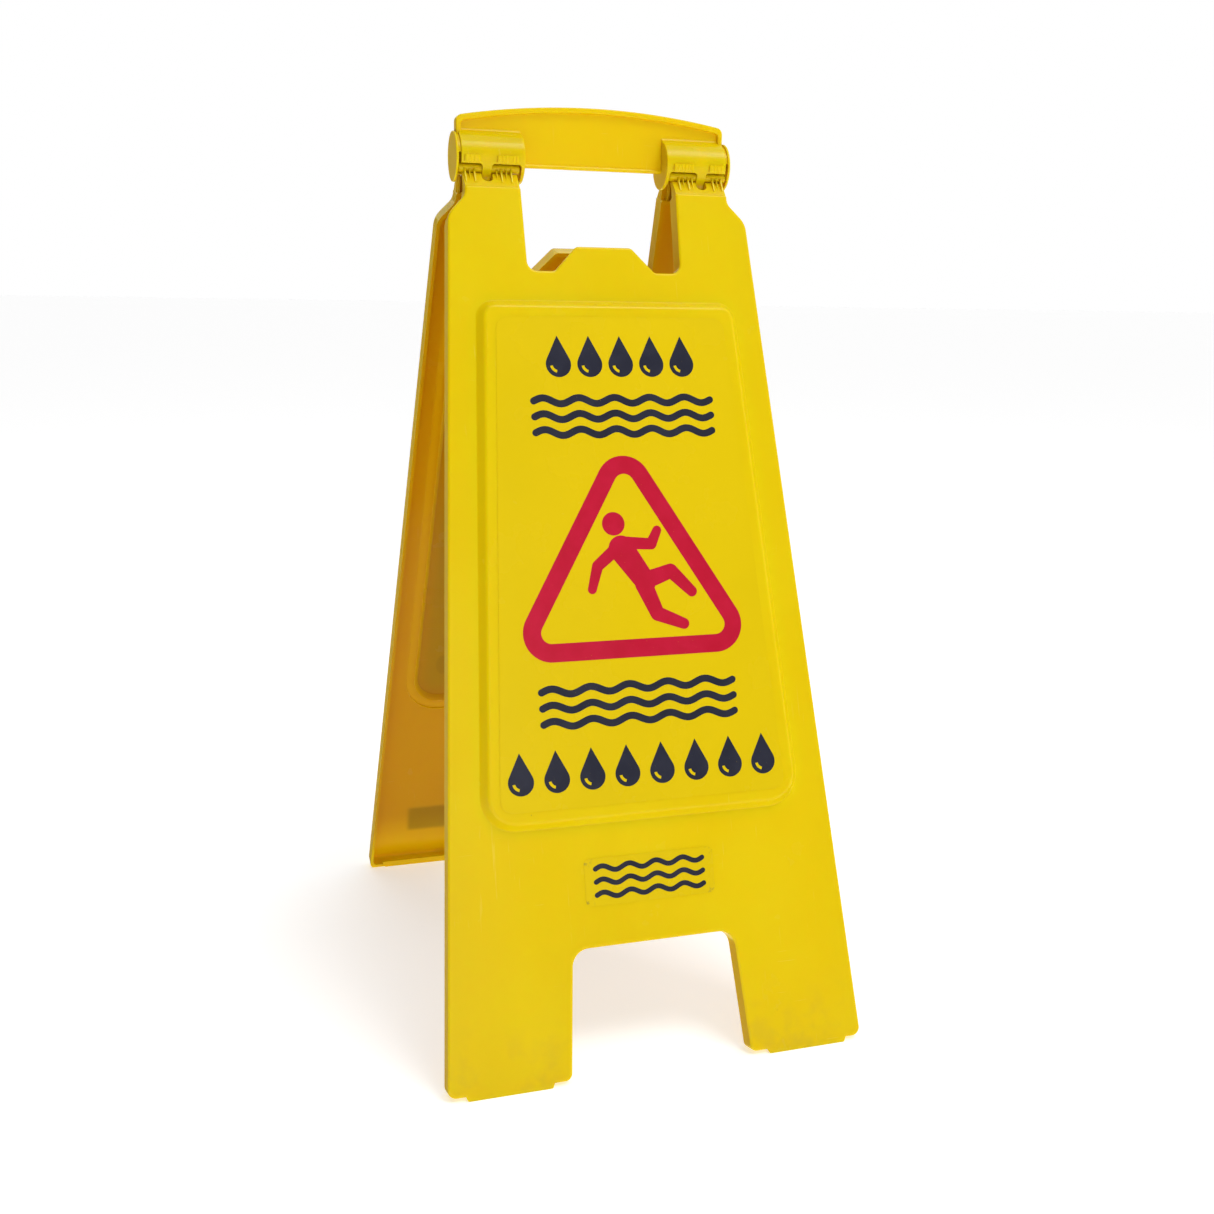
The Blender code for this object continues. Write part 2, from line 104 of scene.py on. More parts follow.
# Hinge pins, and the ledges and lugs that carry them
PIN_HEIGHT = 0.6336
PIN_SETBACK = 0.0086
PIN_RADIUS = 0.0032
PIN_START = 0.0554
PIN_END = 0.0987
RUNNING_GAP = 0.0003
LUG_PLACES = (0.062, 0.069, 0.088, 0.0945)
LUG_THICKNESS = 0.0013
LUG_BACK_BEHIND = 0.0046
LUG_NOSE = 0.0024
SMALL_RIB_PLACES = (0.0655, 0.0722, 0.0913)
SMALL_RIB_THICKNESS = 0.0009
SMALL_RIB_NOSE = 0.0036
HOOP_CENTRE = 0.079
HOOP_WIDTH = 0.0064
EAR_NOTCH_WIDTH = 0.0078
EAR_NOTCH_BOTTOM = 0.0111
LEAF_SHIFT = (0, -PIN_SETBACK, -PIN_HEIGHT)

# Handle, measured from the drums' axis
DRUM_ABOVE_PIN = 0.0077
DRUM_RADIUS = 0.017
DRUM_WALL = 0.0019
DRUM_INNER_FACE = 0.0522
DRUM_INNER_DISC = 0.0024
DRUM_SHELL_END = 0.0972
END_DISC_START = 0.099
END_DISC_END = 0.1008
DISC_ROUND = 0.0007
LIP_ANGLE = math.radians(-17)
SKIRT_ANGLE = math.radians(-52)
WINDOW_RADIUS = 0.0022
BAR_SPANS = ((0.0572, 0.0722), (0.0842, 0.0950))
BAR_ANGLES = (math.radians(-14.5), math.radians(3))
BAR_HEIGHT = 0.0015
BAR_SINK = 0.0005
BAR_EASE = 0.0004
BAR_TURN = math.radians(1.3)
RIDGE_HEIGHT = 0.0003
RIDGE_PITCH = 0.0025
RIDGE_SHARES = (0.22, 0.78)
PIN_MOUTH_WIDTH = 0.0056
HOOP_GAP_HALF_WIDTH = 0.0042
GRIP_HALF_WIDTH = 0.0985
GRIP_BOTTOM = -0.0057
GRIP_CORNER_TOP = 0.0273
GRIP_PEAK = 0.0363
GRIP_PLATE = 0.0032
GRIP_RIM_DEPTH = 0.009
GRIP_RIM_WIDTH = 0.0036
GRIP_RIM_FOOT = 0.0125
GRIP_ROUND = 0.0011
GRIP_CORNER_RADIUS = 0.005
GRIP_POCKET_RADIUS = 0.003
GRIP_BEAD_RADIUS = 0.0016
GRIP_BEAD_STRETCH = 1.8
GRIP_DRUM_FILLET = 0.0035

# Labels and print
VINYL = 0.0001
INK = 0.00006
FILM_GAP = 0.00002
MESSAGE_MARGIN = 0.006
MESSAGE_RADIUS = 0.009
MESSAGE_GRIME_PAST = 0.003
LOWER_LABEL_HALF_WIDTH = 0.047
LOWER_LABEL_BOTTOM = 0.118
LOWER_LABEL_TOP = 0.1505
LOWER_LABEL_RADIUS = 0.004
LEG_LABEL = (0.069, 0.036, 0.115, 0.061)
LEG_LABEL_RADIUS = 0.002
MESSAGE_FACE = -FIELD_RISE - VINYL - FILM_GAP
LOWER_FACE = -VINYL - FILM_GAP
UPPER_PRINT_SHIFT = 0.004
DROP_HEIGHT = 0.029
DROP_BELLY_SHARE = 0.31
RIPPLE_STROKE = 0.005
RIPPLE_SWING = 0.0021
UPPER_RIPPLE_ROWS = (0.4665, 0.4555, 0.4445)
LOWER_RIPPLE_ROWS = (0.2665, 0.2555, 0.2445)
LOWER_LABEL_ROW_GAP = 0.009
TRIANGLE = (0.4469, 0.2865, 0.0945)
TRIANGLE_RADIUS = 0.020
TRIANGLE_STROKE = 0.0127
FIGURE_MIDDLE = (0.0025, 0.334)
FIGURE_HEAD = (-0.0125, 0.0460)
FIGURE_HEAD_RADIUS = 0.0082
# Strokes of the figure, from its middle: (start x, start z, end x, end z, start width, end width)
FIGURE_LIMBS = (
    (-0.0080, 0.0285, 0.0080, 0.0045, 0.0185, 0.0150),
    (-0.0050, 0.0325, 0.0140, 0.0310, 0.0088, 0.0080),
    (0.0140, 0.0310, 0.0190, 0.0405, 0.0080, 0.0064),
    (-0.0110, 0.0290, -0.0260, 0.0170, 0.0092, 0.0080),
    (-0.0260, 0.0170, -0.0310, 0.0010, 0.0080, 0.0064),
    (0.0080, 0.0055, 0.0270, 0.0115, 0.0125, 0.0102),
    (0.0270, 0.0115, 0.0415, -0.0035, 0.0102, 0.0078),
    (0.0065, 0.0030, 0.0150, -0.0180, 0.0128, 0.0104),
    (0.0150, -0.0180, 0.0340, -0.0260, 0.0104, 0.0078),
)
PRINTS = (
    ("drops_print", "dark_ink"),
    ("ripples_print", "dark_ink"),
    ("warning_triangle_print", "red_ink"),
    ("slipping_figure_print", "red_ink"),
    ("lower_print", "dark_ink"),
)


# ---- outlines

def inset(corners, distance):
    """Moves each side of an anticlockwise outline inwards, and keeps its round corners concentric."""
    moved = []
    count = len(corners)
    for index, (x, z, radius) in enumerate(corners):
        here = Vector((x, z))
        arriving = (here - Vector(corners[index - 1][:2])).normalized()
        leaving = (Vector(corners[(index + 1) % count][:2]) - here).normalized()
        bisector = (arriving.orthogonal() + leaving.orthogonal()).normalized()
        reach = distance / bisector.dot(arriving.orthogonal())
        place = here + bisector * reach
        convex = arriving.cross(leaving) > 0
        if radius > 0:
            radius = max(radius - distance if convex else radius + distance, SMALLEST_RADIUS)
        moved.append((place.x, place.y, radius))
    return moved


def rounded(corners, steps=CORNER_STEPS):
    """Points of an outline whose corners are (x, z, radius), each replaced by an arc of that radius."""
    points = []
    count = len(corners)
    for index, (x, z, radius) in enumerate(corners):
        here = Vector((x, z))
        if radius == 0:
            points.append(here)
            continue
        back = (Vector(corners[index - 1][:2]) - here).normalized()
        ahead = (Vector(corners[(index + 1) % count][:2]) - here).normalized()
        half = back.angle(ahead) / 2
        centre = here + (back + ahead).normalized() * (radius / math.sin(half))
        first = here + back * (radius / math.tan(half)) - centre
        last = here + ahead * (radius / math.tan(half)) - centre
        turn = math.atan2(first.cross(last), first.dot(last))
        for step in range(steps + 1):
            points.append(centre + Matrix.Rotation(turn * step / steps, 2) @ first)
    return points


def arc(centre, radius, start, end, steps):
    """Points of an arc, from one angle to another in radians."""
    turns = [start + (end - start) * step / steps for step in range(steps + 1)]
    return [Vector((math.cos(a), math.sin(a))) * radius + Vector(centre) for a in turns]


def circle(radius, steps=48, centre=(0, 0)):
    return arc(centre, radius, 0, 2 * math.pi, steps)[:-1]


def pairs(points):
    return [(p.x, p.y) for p in points]


def mirrored(half):
    """The whole outline from the corners of its right half, listed from the bottom to the top."""
    return half + [(-x, z, radius) for x, z, radius in reversed(half)]


def tray_corners():
    return mirrored([
        (NOTCH_HALF_WIDTH, NOTCH_TOP, 0.012),
        (NOTCH_FOOT_HALF_WIDTH, LEG_BOTTOM, 0.005),
        (FOOT_HALF_WIDTH, LEG_BOTTOM, 0.006),
        (SHOULDER_HALF_WIDTH, SHOULDER_HEIGHT, 0.016),
        (EAR_OUTER, EAR_FOOT, 0.009),
        (EAR_OUTER, EAR_TOP, 0.002),
        (EAR_INNER, EAR_TOP, 0.002),
        (SLOT_HALF_WIDTH, SLOT_FLOOR, 0.007),
        (TAB_FOOT, SLOT_FLOOR, 0.004),
        (TAB_TOP_HALF_WIDTH, TAB_HEIGHT, 0.005),
    ])


def field_corners():
    return [
        (-FIELD_BOTTOM_HALF_WIDTH, FIELD_BOTTOM, FIELD_BOTTOM_RADIUS),
        (FIELD_BOTTOM_HALF_WIDTH, FIELD_BOTTOM, FIELD_BOTTOM_RADIUS),
        (FIELD_TOP_HALF_WIDTH, FIELD_TOP, FIELD_TOP_RADIUS),
        (-FIELD_TOP_HALF_WIDTH, FIELD_TOP, FIELD_TOP_RADIUS),
    ]


def box_corners(left, bottom, right, top, radius):
    return [(left, bottom, radius), (right, bottom, radius), (right, top, radius), (left, top, radius)]


# ---- solids

def link_mesh(name, mesh):
    obj = bpy.data.objects.new(name, mesh)
    bpy.context.scene.collection.objects.link(obj)
    return obj


def mesh_from(shape, name):
    bmesh.ops.recalc_face_normals(shape, faces=shape.faces)
    mesh = bpy.data.meshes.new(name)
    shape.to_mesh(mesh)
    shape.free()
    return mesh


def loft(name, sections, along="Y"):
    """A closed solid through outlines [(points, position)], stacked along Y or along X."""
    shape = bmesh.new()
    rings = []
    for points, position in sections:
        if along == "Y":
            ring = [shape.verts.new((p.x, position, p.y)) for p in points]
        else:
            ring = [shape.verts.new((position, p.x, p.y)) for p in points]
        rings.append(ring)
    for lower, upper in zip(rings, rings[1:]):
        for index in range(len(lower)):
            following = (index + 1) % len(lower)
            shape.faces.new((lower[index], lower[following], upper[following], upper[index]))
    shape.faces.new(rings[0])
    shape.faces.new(rings[-1])
    return link_mesh(name, mesh_from(shape, name))


def bar(name, points, ends):
    """A straight solid along X."""
    return loft(name, [(points, x) for x in ends], along="X")


def combine(base, tools, operation):
    """Joins the tools to the base, or cuts them out of it, and removes them."""
    for tool in tools:
        boolean = base.modifiers.new(tool.name, "BOOLEAN")
        boolean.operation = operation
        boolean.object = tool
    bpy.context.view_layer.update()
    evaluated = base.evaluated_get(bpy.context.evaluated_depsgraph_get())
    result = bpy.data.meshes.new_from_object(evaluated)
    base.modifiers.clear()
    base.data = result
    for tool in tools:
        bpy.data.objects.remove(tool, do_unlink=True)
    return base


def take_mesh(obj, shift=(0, 0, 0)):
    mesh = obj.data
    mesh.transform(Matrix.Translation(shift))
    bpy.data.objects.remove(obj, do_unlink=True)
    return mesh


def stack(corners, steps, profile):
    """Sections of one outline, from a profile of (inset, depth)."""
    return [(rounded(inset(corners, distance), steps), depth) for distance, depth in profile]


def rounded_slab(corners, depth, edge, steps=CORNER_STEPS, edge_steps=4):
    """A plate centred on Y = 0 whose two faces have rounded edges."""
    half = depth / 2
    front = [(p.x, p.y - half) for p in arc((edge, edge), edge, 1.5 * math.pi, math.pi, edge_steps)]
    back = [(p.x, p.y + half) for p in arc((edge, -edge), edge, math.pi, math.pi / 2, edge_steps)]
    return loft("slab", stack(corners, steps, front + back))


def drum_disc(side, start, end, edge, steps=64, edge_steps=4):
    """A disc across a drum whose two faces have rounded edges."""
    near = [(p.y, p.x) for p in arc((0, 0), edge, math.pi, math.pi / 2, edge_steps)]
    sections = [(circle(DRUM_RADIUS - edge + r, steps), side * (start + edge + x)) for r, x in near]
    sections += [(circle(DRUM_RADIUS - edge + r, steps), side * (end - edge - x)) for r, x in near[::-1]]
    return loft("disc", sections, along="X")


# ---- panel

def floor_height(depth, clearance=0.0):
    """How far up the panel the floor plane, raised by the clearance, meets a given depth when open."""
    return clearance / math.cos(OPEN_ANGLE) + depth * math.tan(OPEN_ANGLE)


def floor_wedge(x_ends, depths, level, clearance):
    """A solid between the sloping floor plane and one level of the panel, over a range of depths."""
    near, far = depths
    profile = [
        Vector((near, floor_height(near, clearance))),
        Vector((far, floor_height(far, clearance))),
        Vector((far, level)),
        Vector((near, level)),
    ]
    return bar("floor_wedge", profile, x_ends)


def foot_pad(side):
    """A pad under a leg, with rounded lower corners at its two ends."""
    ends = sorted((side * PAD_INNER, side * PAD_OUTER))
    corners = [
        (ends[0], 0, PAD_ROUND),
        (ends[1], 0, PAD_ROUND),
        (ends[1] + PAD_FLARE, PAD_TOP, 0),
        (ends[0] - PAD_FLARE, PAD_TOP, 0),
    ]
    points = rounded(corners, 4)
    rise = PANEL_DEPTH * math.tan(OPEN_ANGLE)
    far = [Vector((p.x, min(p.y + rise, PAD_TOP + rise))) for p in points]
    return loft("pad", [(points, 0), (far, PANEL_DEPTH)])


def curl(radius, steps):
    """A fillet's points (inset, drop), from the flat sheet to the slope of the field's wall."""
    turns = [FIELD_WALL_ANGLE * step / steps for step in range(steps + 1)]
    return [(radius * math.sin(a), radius * (1 - math.cos(a))) for a in turns]


def field_profile():
    """The raised field's wall, as (inset, depth): a base fillet, a straight slope and a crown fillet."""
    base = curl(FIELD_BASE_FILLET, 5)
    crown = [(FIELD_WALL_WIDTH - w, FIELD_RISE - h) for w, h in curl(FIELD_CROWN_FILLET, 8)[::-1]]
    return [(0, SHEET / 2)] + [(width, FIELD_SINK - rise) for width, rise in base + crown]


def recess_profile():
    """The hollow behind the field, one sheet thickness inside its wall, with a narrow shelf round it."""
    floor = SHEET - FIELD_RISE
    base = [(w, SHEET - h) for w, h in curl(FIELD_BASE_FILLET + SHEET, 5)]
    crown = [(FIELD_WALL_WIDTH - w, floor + h) for w, h in curl(FIELD_CROWN_FILLET - SHEET, 5)[::-1]]
    shelf = SHEET - SHELF_DEPTH
    wall = [(width, depth) for width, depth in base + crown if depth < shelf - 0.0001]
    return [
        (-SHELF_WIDTH, SHEET + OVERCUT),
        (-SHELF_WIDTH, shelf + SHELF_EASE),
        (-SHELF_WIDTH + SHELF_EASE, shelf),
        (wall[0][0] - SHELF_EASE, shelf),
        *wall,
    ]


def ear_ledge(side):
    """The sloping ledge above an ear, which rises from the outer face to just under the pin."""
    top = PIN_HEIGHT - PIN_RADIUS - 3 * RUNNING_GAP
    profile = rounded([
        (0.0006, EAR_TOP - 0.002, 0),
        (PIN_SETBACK + 0.002, EAR_TOP - 0.002, 0),
        (PIN_SETBACK + 0.002, top, 0),
        (PIN_SETBACK - 0.0016, top, 0.0012),
        (0.0018, EAR_TOP + 0.001, 0.0015),
    ], 5)
    ends = sorted((side * (EAR_INNER + 0.0006), side * (EAR_OUTER - 0.0006)))
    return bar("ledge", profile, ends)


def lug(centre, thickness, nose):
    """A thin fin on the ledge, which cradles the pin from below and behind."""
    profile = rounded([
        (nose + 0.0014, EAR_TOP - 0.001, 0),
        (PIN_SETBACK + LUG_BACK_BEHIND, EAR_TOP - 0.001, 0),
        (PIN_SETBACK + LUG_BACK_BEHIND, PIN_HEIGHT + 0.002, 0.0006),
        (PIN_SETBACK + 0.001, PIN_HEIGHT + 0.002, 0.0006),
        (PIN_SETBACK - 0.0034, PIN_HEIGHT - 0.0016, 0.0008),
        (nose, EAR_TOP + 0.0036, 0.0012),
    ], 4)
    half = thickness / 2
    ease = 0.0003
    eased = [Vector((p.x + ease, p.y)) for p in profile]
    sections = [(eased, centre - half), (profile, centre - half + ease),
                (profile, centre + half - ease), (eased, centre + half)]
    return loft("lug", sections, along="X")


def ear_notch(side):
    """A round-bottomed gap in the ledge, through which the handle's hoop passes."""
    half = EAR_NOTCH_WIDTH / 2
    bottom = PIN_HEIGHT - EAR_NOTCH_BOTTOM
    centre = side * HOOP_CENTRE
    points = rounded([
        (centre - half, bottom, half * 0.95),
        (centre + half, bottom, half * 0.95),
        (centre + half, PIN_HEIGHT + 0.004, 0),
        (centre - half, PIN_HEIGHT + 0.004, 0),
    ])
    return loft("ear_notch", [(points, -OVERCUT), (points, PIN_SETBACK + LUG_BACK_BEHIND)])


def panel_mesh():
    """One moulded panel, with its hinge axis along X through the origin."""
    tray = tray_corners()
    rim = arc((RIM_ROUND, PANEL_DEPTH - RIM_ROUND), RIM_ROUND, math.pi / 2, math.pi, 2)
    edge = arc((EDGE_ROUND, EDGE_ROUND), EDGE_ROUND, math.pi, 1.5 * math.pi, 6)
    panel = loft("panel_shape", stack(tray, CORNER_STEPS, pairs(rim + edge)))

    hollow = [(x, max(z, LEG_FLOOR_WALL_TOP), radius) for x, z, radius in inset(tray, SHEET)]
    fillet = arc((INNER_FILLET, SHEET + INNER_FILLET), INNER_FILLET, math.pi, 1.5 * math.pi, 6)
    hollow_profile = [(0, PANEL_DEPTH + OVERCUT)] + pairs(fillet)
    hollow_sections = stack(hollow, CORNER_STEPS, hollow_profile)
    past_foot = FOOT_HALF_WIDTH + OVERCUT
    floor_depths = (-OVERCUT, PANEL_DEPTH + OVERCUT)
    floor_cutter = floor_wedge((-past_foot, past_foot), floor_depths, -OVERCUT, FLOOR_CLEARANCE)
    combine(panel, [loft("hollow", hollow_sections), floor_cutter], "DIFFERENCE")

    field = loft("field", stack(field_corners(), CORNER_STEPS, field_profile()))
    added = [field]
    for side in (-1, 1):
        added += [foot_pad(side), ear_ledge(side)]
    combine(panel, added, "UNION")
    recess = loft("recess", stack(field_corners(), CORNER_STEPS, recess_profile()))
    combine(panel, [recess] + [ear_notch(side) for side in (-1, 1)], "DIFFERENCE")
    fins = []
    for side in (-1, 1):
        fins += [lug(side * place, LUG_THICKNESS, LUG_NOSE) for place in LUG_PLACES]
        fins += [lug(side * place, SMALL_RIB_THICKNESS, SMALL_RIB_NOSE) for place in SMALL_RIB_PLACES]
    combine(panel, fins, "UNION")
    bore = circle(PIN_RADIUS + RUNNING_GAP, 32, (PIN_SETBACK, PIN_HEIGHT))
    bore_end = EAR_OUTER + OVERCUT
    bore_cutter = bar("bore", bore, (-bore_end, bore_end))
    combine(panel, [bore_cutter], "DIFFERENCE")
    return take_mesh(panel, LEAF_SHIFT)


def pin_mesh(side):
    """A hinge pin with chamfered ends and shallow collars between its lugs."""
    chamfer = 0.0005
    collar = 0.00012
    profile = [(PIN_START, PIN_RADIUS - chamfer), (PIN_START + chamfer, PIN_RADIUS - collar)]
    for place in LUG_PLACES:
        reach = LUG_THICKNESS
        profile.append((place - reach, PIN_RADIUS - collar))
        profile.append((place - reach * 0.6, PIN_RADIUS))
        profile.append((place + reach * 0.6, PIN_RADIUS))
        profile.append((place + reach, PIN_RADIUS - collar))
    profile += [(PIN_END - chamfer, PIN_RADIUS - collar), (PIN_END, PIN_RADIUS - chamfer)]
    sections = [(circle(radius, 32), side * x) for x, radius in profile]
    return take_mesh(loft("pin_shape", sections, along="X"))


# ---- handle

def arch_corners(half_width, foot, corner_top, peak, corner_radius):
    """A plate with a straight foot, upright ends and an arched top."""
    arch = []
    steps = 40
    for step in range(2, steps - 1):
        x = half_width * (1 - 2 * step / steps)
        arch.append((x, corner_top + (peak - corner_top) * (1 - (x / half_width) ** 2), 0))
    return [
        (-half_width, foot, 0),
        (half_width, foot, 0),
        (half_width, corner_top, corner_radius),
        *arch,
        (-half_width, corner_top, corner_radius),
    ]


def grip():
    """The arched grip: a thin plate with a deep rim along its top and ends, and a bead below."""
    whole = arch_corners(GRIP_HALF_WIDTH, GRIP_BOTTOM, GRIP_CORNER_TOP, GRIP_PEAK, GRIP_CORNER_RADIUS)
    upper = arch_corners(GRIP_HALF_WIDTH, GRIP_RIM_FOOT, GRIP_CORNER_TOP, GRIP_PEAK, GRIP_CORNER_RADIUS)
    pocket = arch_corners(
        GRIP_HALF_WIDTH - GRIP_RIM_WIDTH,
        0,
        GRIP_CORNER_TOP - GRIP_RIM_WIDTH,
        GRIP_PEAK - GRIP_RIM_WIDTH,
        GRIP_POCKET_RADIUS,
    )
    half = GRIP_RIM_DEPTH / 2
    quarter = arc((0, GRIP_ROUND - half), GRIP_ROUND, 1.5 * math.pi, 2 * math.pi, 4)
    flare = [(p.x - GRIP_ROUND, p.y) for p in quarter]
    profile = [(flare[0][0], -half - OVERCUT)] + flare
    profile += [(distance, -depth) for distance, depth in profile[::-1]]
    rim = rounded_slab(upper, GRIP_RIM_DEPTH, GRIP_ROUND)
    combine(rim, [loft("pocket", stack(pocket, CORNER_STEPS, profile))], "DIFFERENCE")
    reach = DRUM_INNER_FACE + 0.001
    round_bar = circle(GRIP_BEAD_RADIUS, 16, (0, GRIP_BOTTOM + GRIP_BEAD_RADIUS))
    bead = bar("bead", round_bar, (-reach, reach))
    for vertex in bead.data.vertices:
        vertex.co.y *= GRIP_BEAD_STRETCH
    plate = loft("plate", stack(whole, CORNER_STEPS, [(0, -GRIP_PLATE / 2), (0, GRIP_PLATE / 2)]))
    return combine(plate, [rim, bead], "UNION")


def shell_outline(outer, wall, start):
    """The C-shaped section of a drum's wall."""
    end = math.pi - start
    inner = outer - wall
    return arc((0, 0), outer, start, end, 60) + arc((0, 0), inner, end, start, 60)


def drum_shell(side):
    """The curved wall of a drum, from its inner disc to its outer end, which is slightly rounded."""
    full = shell_outline(DRUM_RADIUS, DRUM_WALL, SKIRT_ANGLE)
    eased = shell_outline(DRUM_RADIUS - 0.0003, DRUM_WALL - 0.0004, SKIRT_ANGLE)
    sections = [
        (full, side * (DRUM_INNER_FACE + 0.0008)),
        (full, side * (DRUM_SHELL_END - 0.0004)),
        (eased, side * DRUM_SHELL_END),
    ]
    return loft("shell", sections, along="X")


def pin_window(start, end, facing):
    """The opening below a drum's lip that shows the pin, with rounded upper corners."""
    lip = DRUM_RADIUS * math.sin(LIP_ANGLE)
    low = -DRUM_RADIUS - OVERCUT
    left, right = sorted((start, end))
    upper = [(right, lip, WINDOW_RADIUS), (left, lip, WINDOW_RADIUS)]
    points = rounded([(left, low, 0), (right, low, 0), *upper], 6)
    ends = sorted((facing * 0.004, facing * (DRUM_RADIUS + OVERCUT)))
    return loft("pin_window", [(points, ends[0]), (points, ends[1])])


def lip_bar(side, span, facing):
    """A low bar on the drum just above its lip, and the ridges across the bar."""
    start, end = BAR_ANGLES
    count = round((span[1] - span[0]) / RIDGE_PITCH)
    pitch = (span[1] - span[0]) / count
    strips = [(0.0, *span)]
    for index in range(count):
        strips.append((RIDGE_HEIGHT, *[span[0] + pitch * (index + share) for share in RIDGE_SHARES]))
    low = DRUM_RADIUS - BAR_SINK
    parts = []
    for extra, left, right in strips:
        high = DRUM_RADIUS + BAR_HEIGHT + extra
        places = ((left, BAR_EASE, BAR_TURN), (left + BAR_EASE, 0, 0),
                  (right - BAR_EASE, 0, 0), (right, BAR_EASE, BAR_TURN))
        sections = []
        for x, drop, narrow in places:
            top = arc((0, 0), high - drop, start + BAR_TURN + narrow, end - BAR_TURN - narrow, 8)
            bottom = arc((0, 0), low, end - narrow, start + narrow, 8)
            sections.append(([Vector((facing * p.x, p.y)) for p in top + bottom], side * x))
        parts.append(loft("lip_bar", sections, along="X"))
    return parts


def drum_fillet(side, facing):
    """The small fillet where the grip's plate rises out of a drum."""
    plate = GRIP_PLATE / 2
    radius = GRIP_DRUM_FILLET
    centre = Vector((plate + radius, math.sqrt((DRUM_RADIUS + radius) ** 2 - (plate + radius) ** 2)))
    touch = centre * (DRUM_RADIUS / (DRUM_RADIUS + radius))
    start = math.pi
    end = math.atan2(touch.y - centre.y, touch.x - centre.x) % (2 * math.pi)
    curve = arc(centre, radius, start, end, 8)
    points = curve + [touch * 0.94, Vector((0, touch.y * 0.94)), Vector((0, curve[0].y))]
    points = [Vector((facing * p.x, p.y)) for p in points]
    ends = (side * (DRUM_INNER_FACE + 0.0003), side * (DRUM_SHELL_END - 0.0003))
    return bar("drum_fillet", points, ends)


def end_web(side):
    """The short web that carries the end disc, across the gap beyond the shell."""
    half = GRIP_PLATE / 2
    points = rounded(box_corners(-half, -0.012, half, 0.014, 0.0004), 3)
    ends = (side * (GRIP_HALF_WIDTH - 0.005), side * (END_DISC_START + 0.0006))
    return bar("end_web", points, ends)


def end_collar(side):
    """The half disc that closes the upper part of the gap between the shell and the end disc."""
    points = arc((0, 0), DRUM_RADIUS - 0.0014, math.radians(8), math.radians(172), 40)
    ends = (side * (DRUM_SHELL_END - 0.001), side * (END_DISC_START + 0.0006))
    return bar("end_collar", points, ends)


def hoop_cutter(name, side, points):
    reach = HOOP_WIDTH / 2 + OVERCUT
    ends = (side * (HOOP_CENTRE - reach), side * (HOOP_CENTRE + reach))
    return bar(name, points, ends)


def pin_cutter(side, facing):
    """Clearance for one pin through the hoop."""
    bore = circle(PIN_RADIUS + RUNNING_GAP, 32, (facing * HINGE_Y, -DRUM_ABOVE_PIN))
    return hoop_cutter("pin_clearance", side, bore)


def mouth_cutter(side):
    """The gap in the hoop's underside and the two mouths off it, through which the pins snap in."""
    top = -DRUM_ABOVE_PIN + PIN_MOUTH_WIDTH / 2
    bottom = -DRUM_ABOVE_PIN - PIN_MOUTH_WIDTH / 2
    low = -DRUM_RADIUS - OVERCUT
    half = [
        Vector((HOOP_GAP_HALF_WIDTH, low)),
        Vector((HOOP_GAP_HALF_WIDTH, bottom)),
        Vector((HINGE_Y, bottom)),
        Vector((HINGE_Y, top)),
    ]
    return hoop_cutter("mouth", side, half + [Vector((-p.x, p.y)) for p in half[::-1]])


def handle_mesh():
    """The one-piece handle, with the drums' common axis along X through the origin."""
    handle = grip()
    hoop_start = HOOP_CENTRE - HOOP_WIDTH / 2
    hoop_end = HOOP_CENTRE + HOOP_WIDTH / 2
    windows = ((DRUM_INNER_FACE + DRUM_INNER_DISC, hoop_start), (hoop_end, DRUM_SHELL_END + OVERCUT))
    for side in (-1, 1):
        shell = drum_shell(side)
        cuts = [pin_window(side * a, side * b, facing) for facing in (-1, 1) for a, b in windows]
        combine(shell, cuts, "DIFFERENCE")
        added = [
            shell,
            drum_disc(side, DRUM_INNER_FACE, DRUM_INNER_FACE + DRUM_INNER_DISC, DISC_ROUND),
            drum_disc(side, hoop_start, hoop_end, DISC_ROUND / 2),
            drum_disc(side, END_DISC_START, END_DISC_END, DISC_ROUND),
            end_web(side),
            end_collar(side),
        ]
        for facing in (-1, 1):
            added.append(drum_fillet(side, facing))
            for span in BAR_SPANS:
                added += lip_bar(side, span, facing)
        combine(handle, added, "UNION")
        cuts = [pin_cutter(side, facing) for facing in (-1, 1)]
        combine(handle, cuts + [mouth_cutter(side)], "DIFFERENCE")
    return take_mesh(handle)


# ---- labels and print

def vinyl_mesh(corners, face_depth):
    """A thin label stuck to the face at that depth, with a softened edge."""
    back = face_depth - FILM_GAP
    ease = VINYL * 0.4
    profile = [(0, back), (0, back - VINYL + ease), (ease, back - VINYL)]
    return take_mesh(loft("vinyl", stack(corners, CORNER_STEPS, profile)), LEAF_SHIFT)


def message_label_mesh():
    corners = inset(field_corners(), FIELD_WALL_WIDTH + MESSAGE_MARGIN)
    return vinyl_mesh([(x, z, MESSAGE_RADIUS) for x, z, _ in corners], -FIELD_RISE)


def lower_label_mesh():
    half = LOWER_LABEL_HALF_WIDTH
    corners = box_corners(-half, LOWER_LABEL_BOTTOM, half, LOWER_LABEL_TOP, LOWER_LABEL_RADIUS)
    return vinyl_mesh(corners, 0)


def leg_label_mesh():
    return vinyl_mesh(box_corners(*LEG_LABEL, LEG_LABEL_RADIUS), 0)


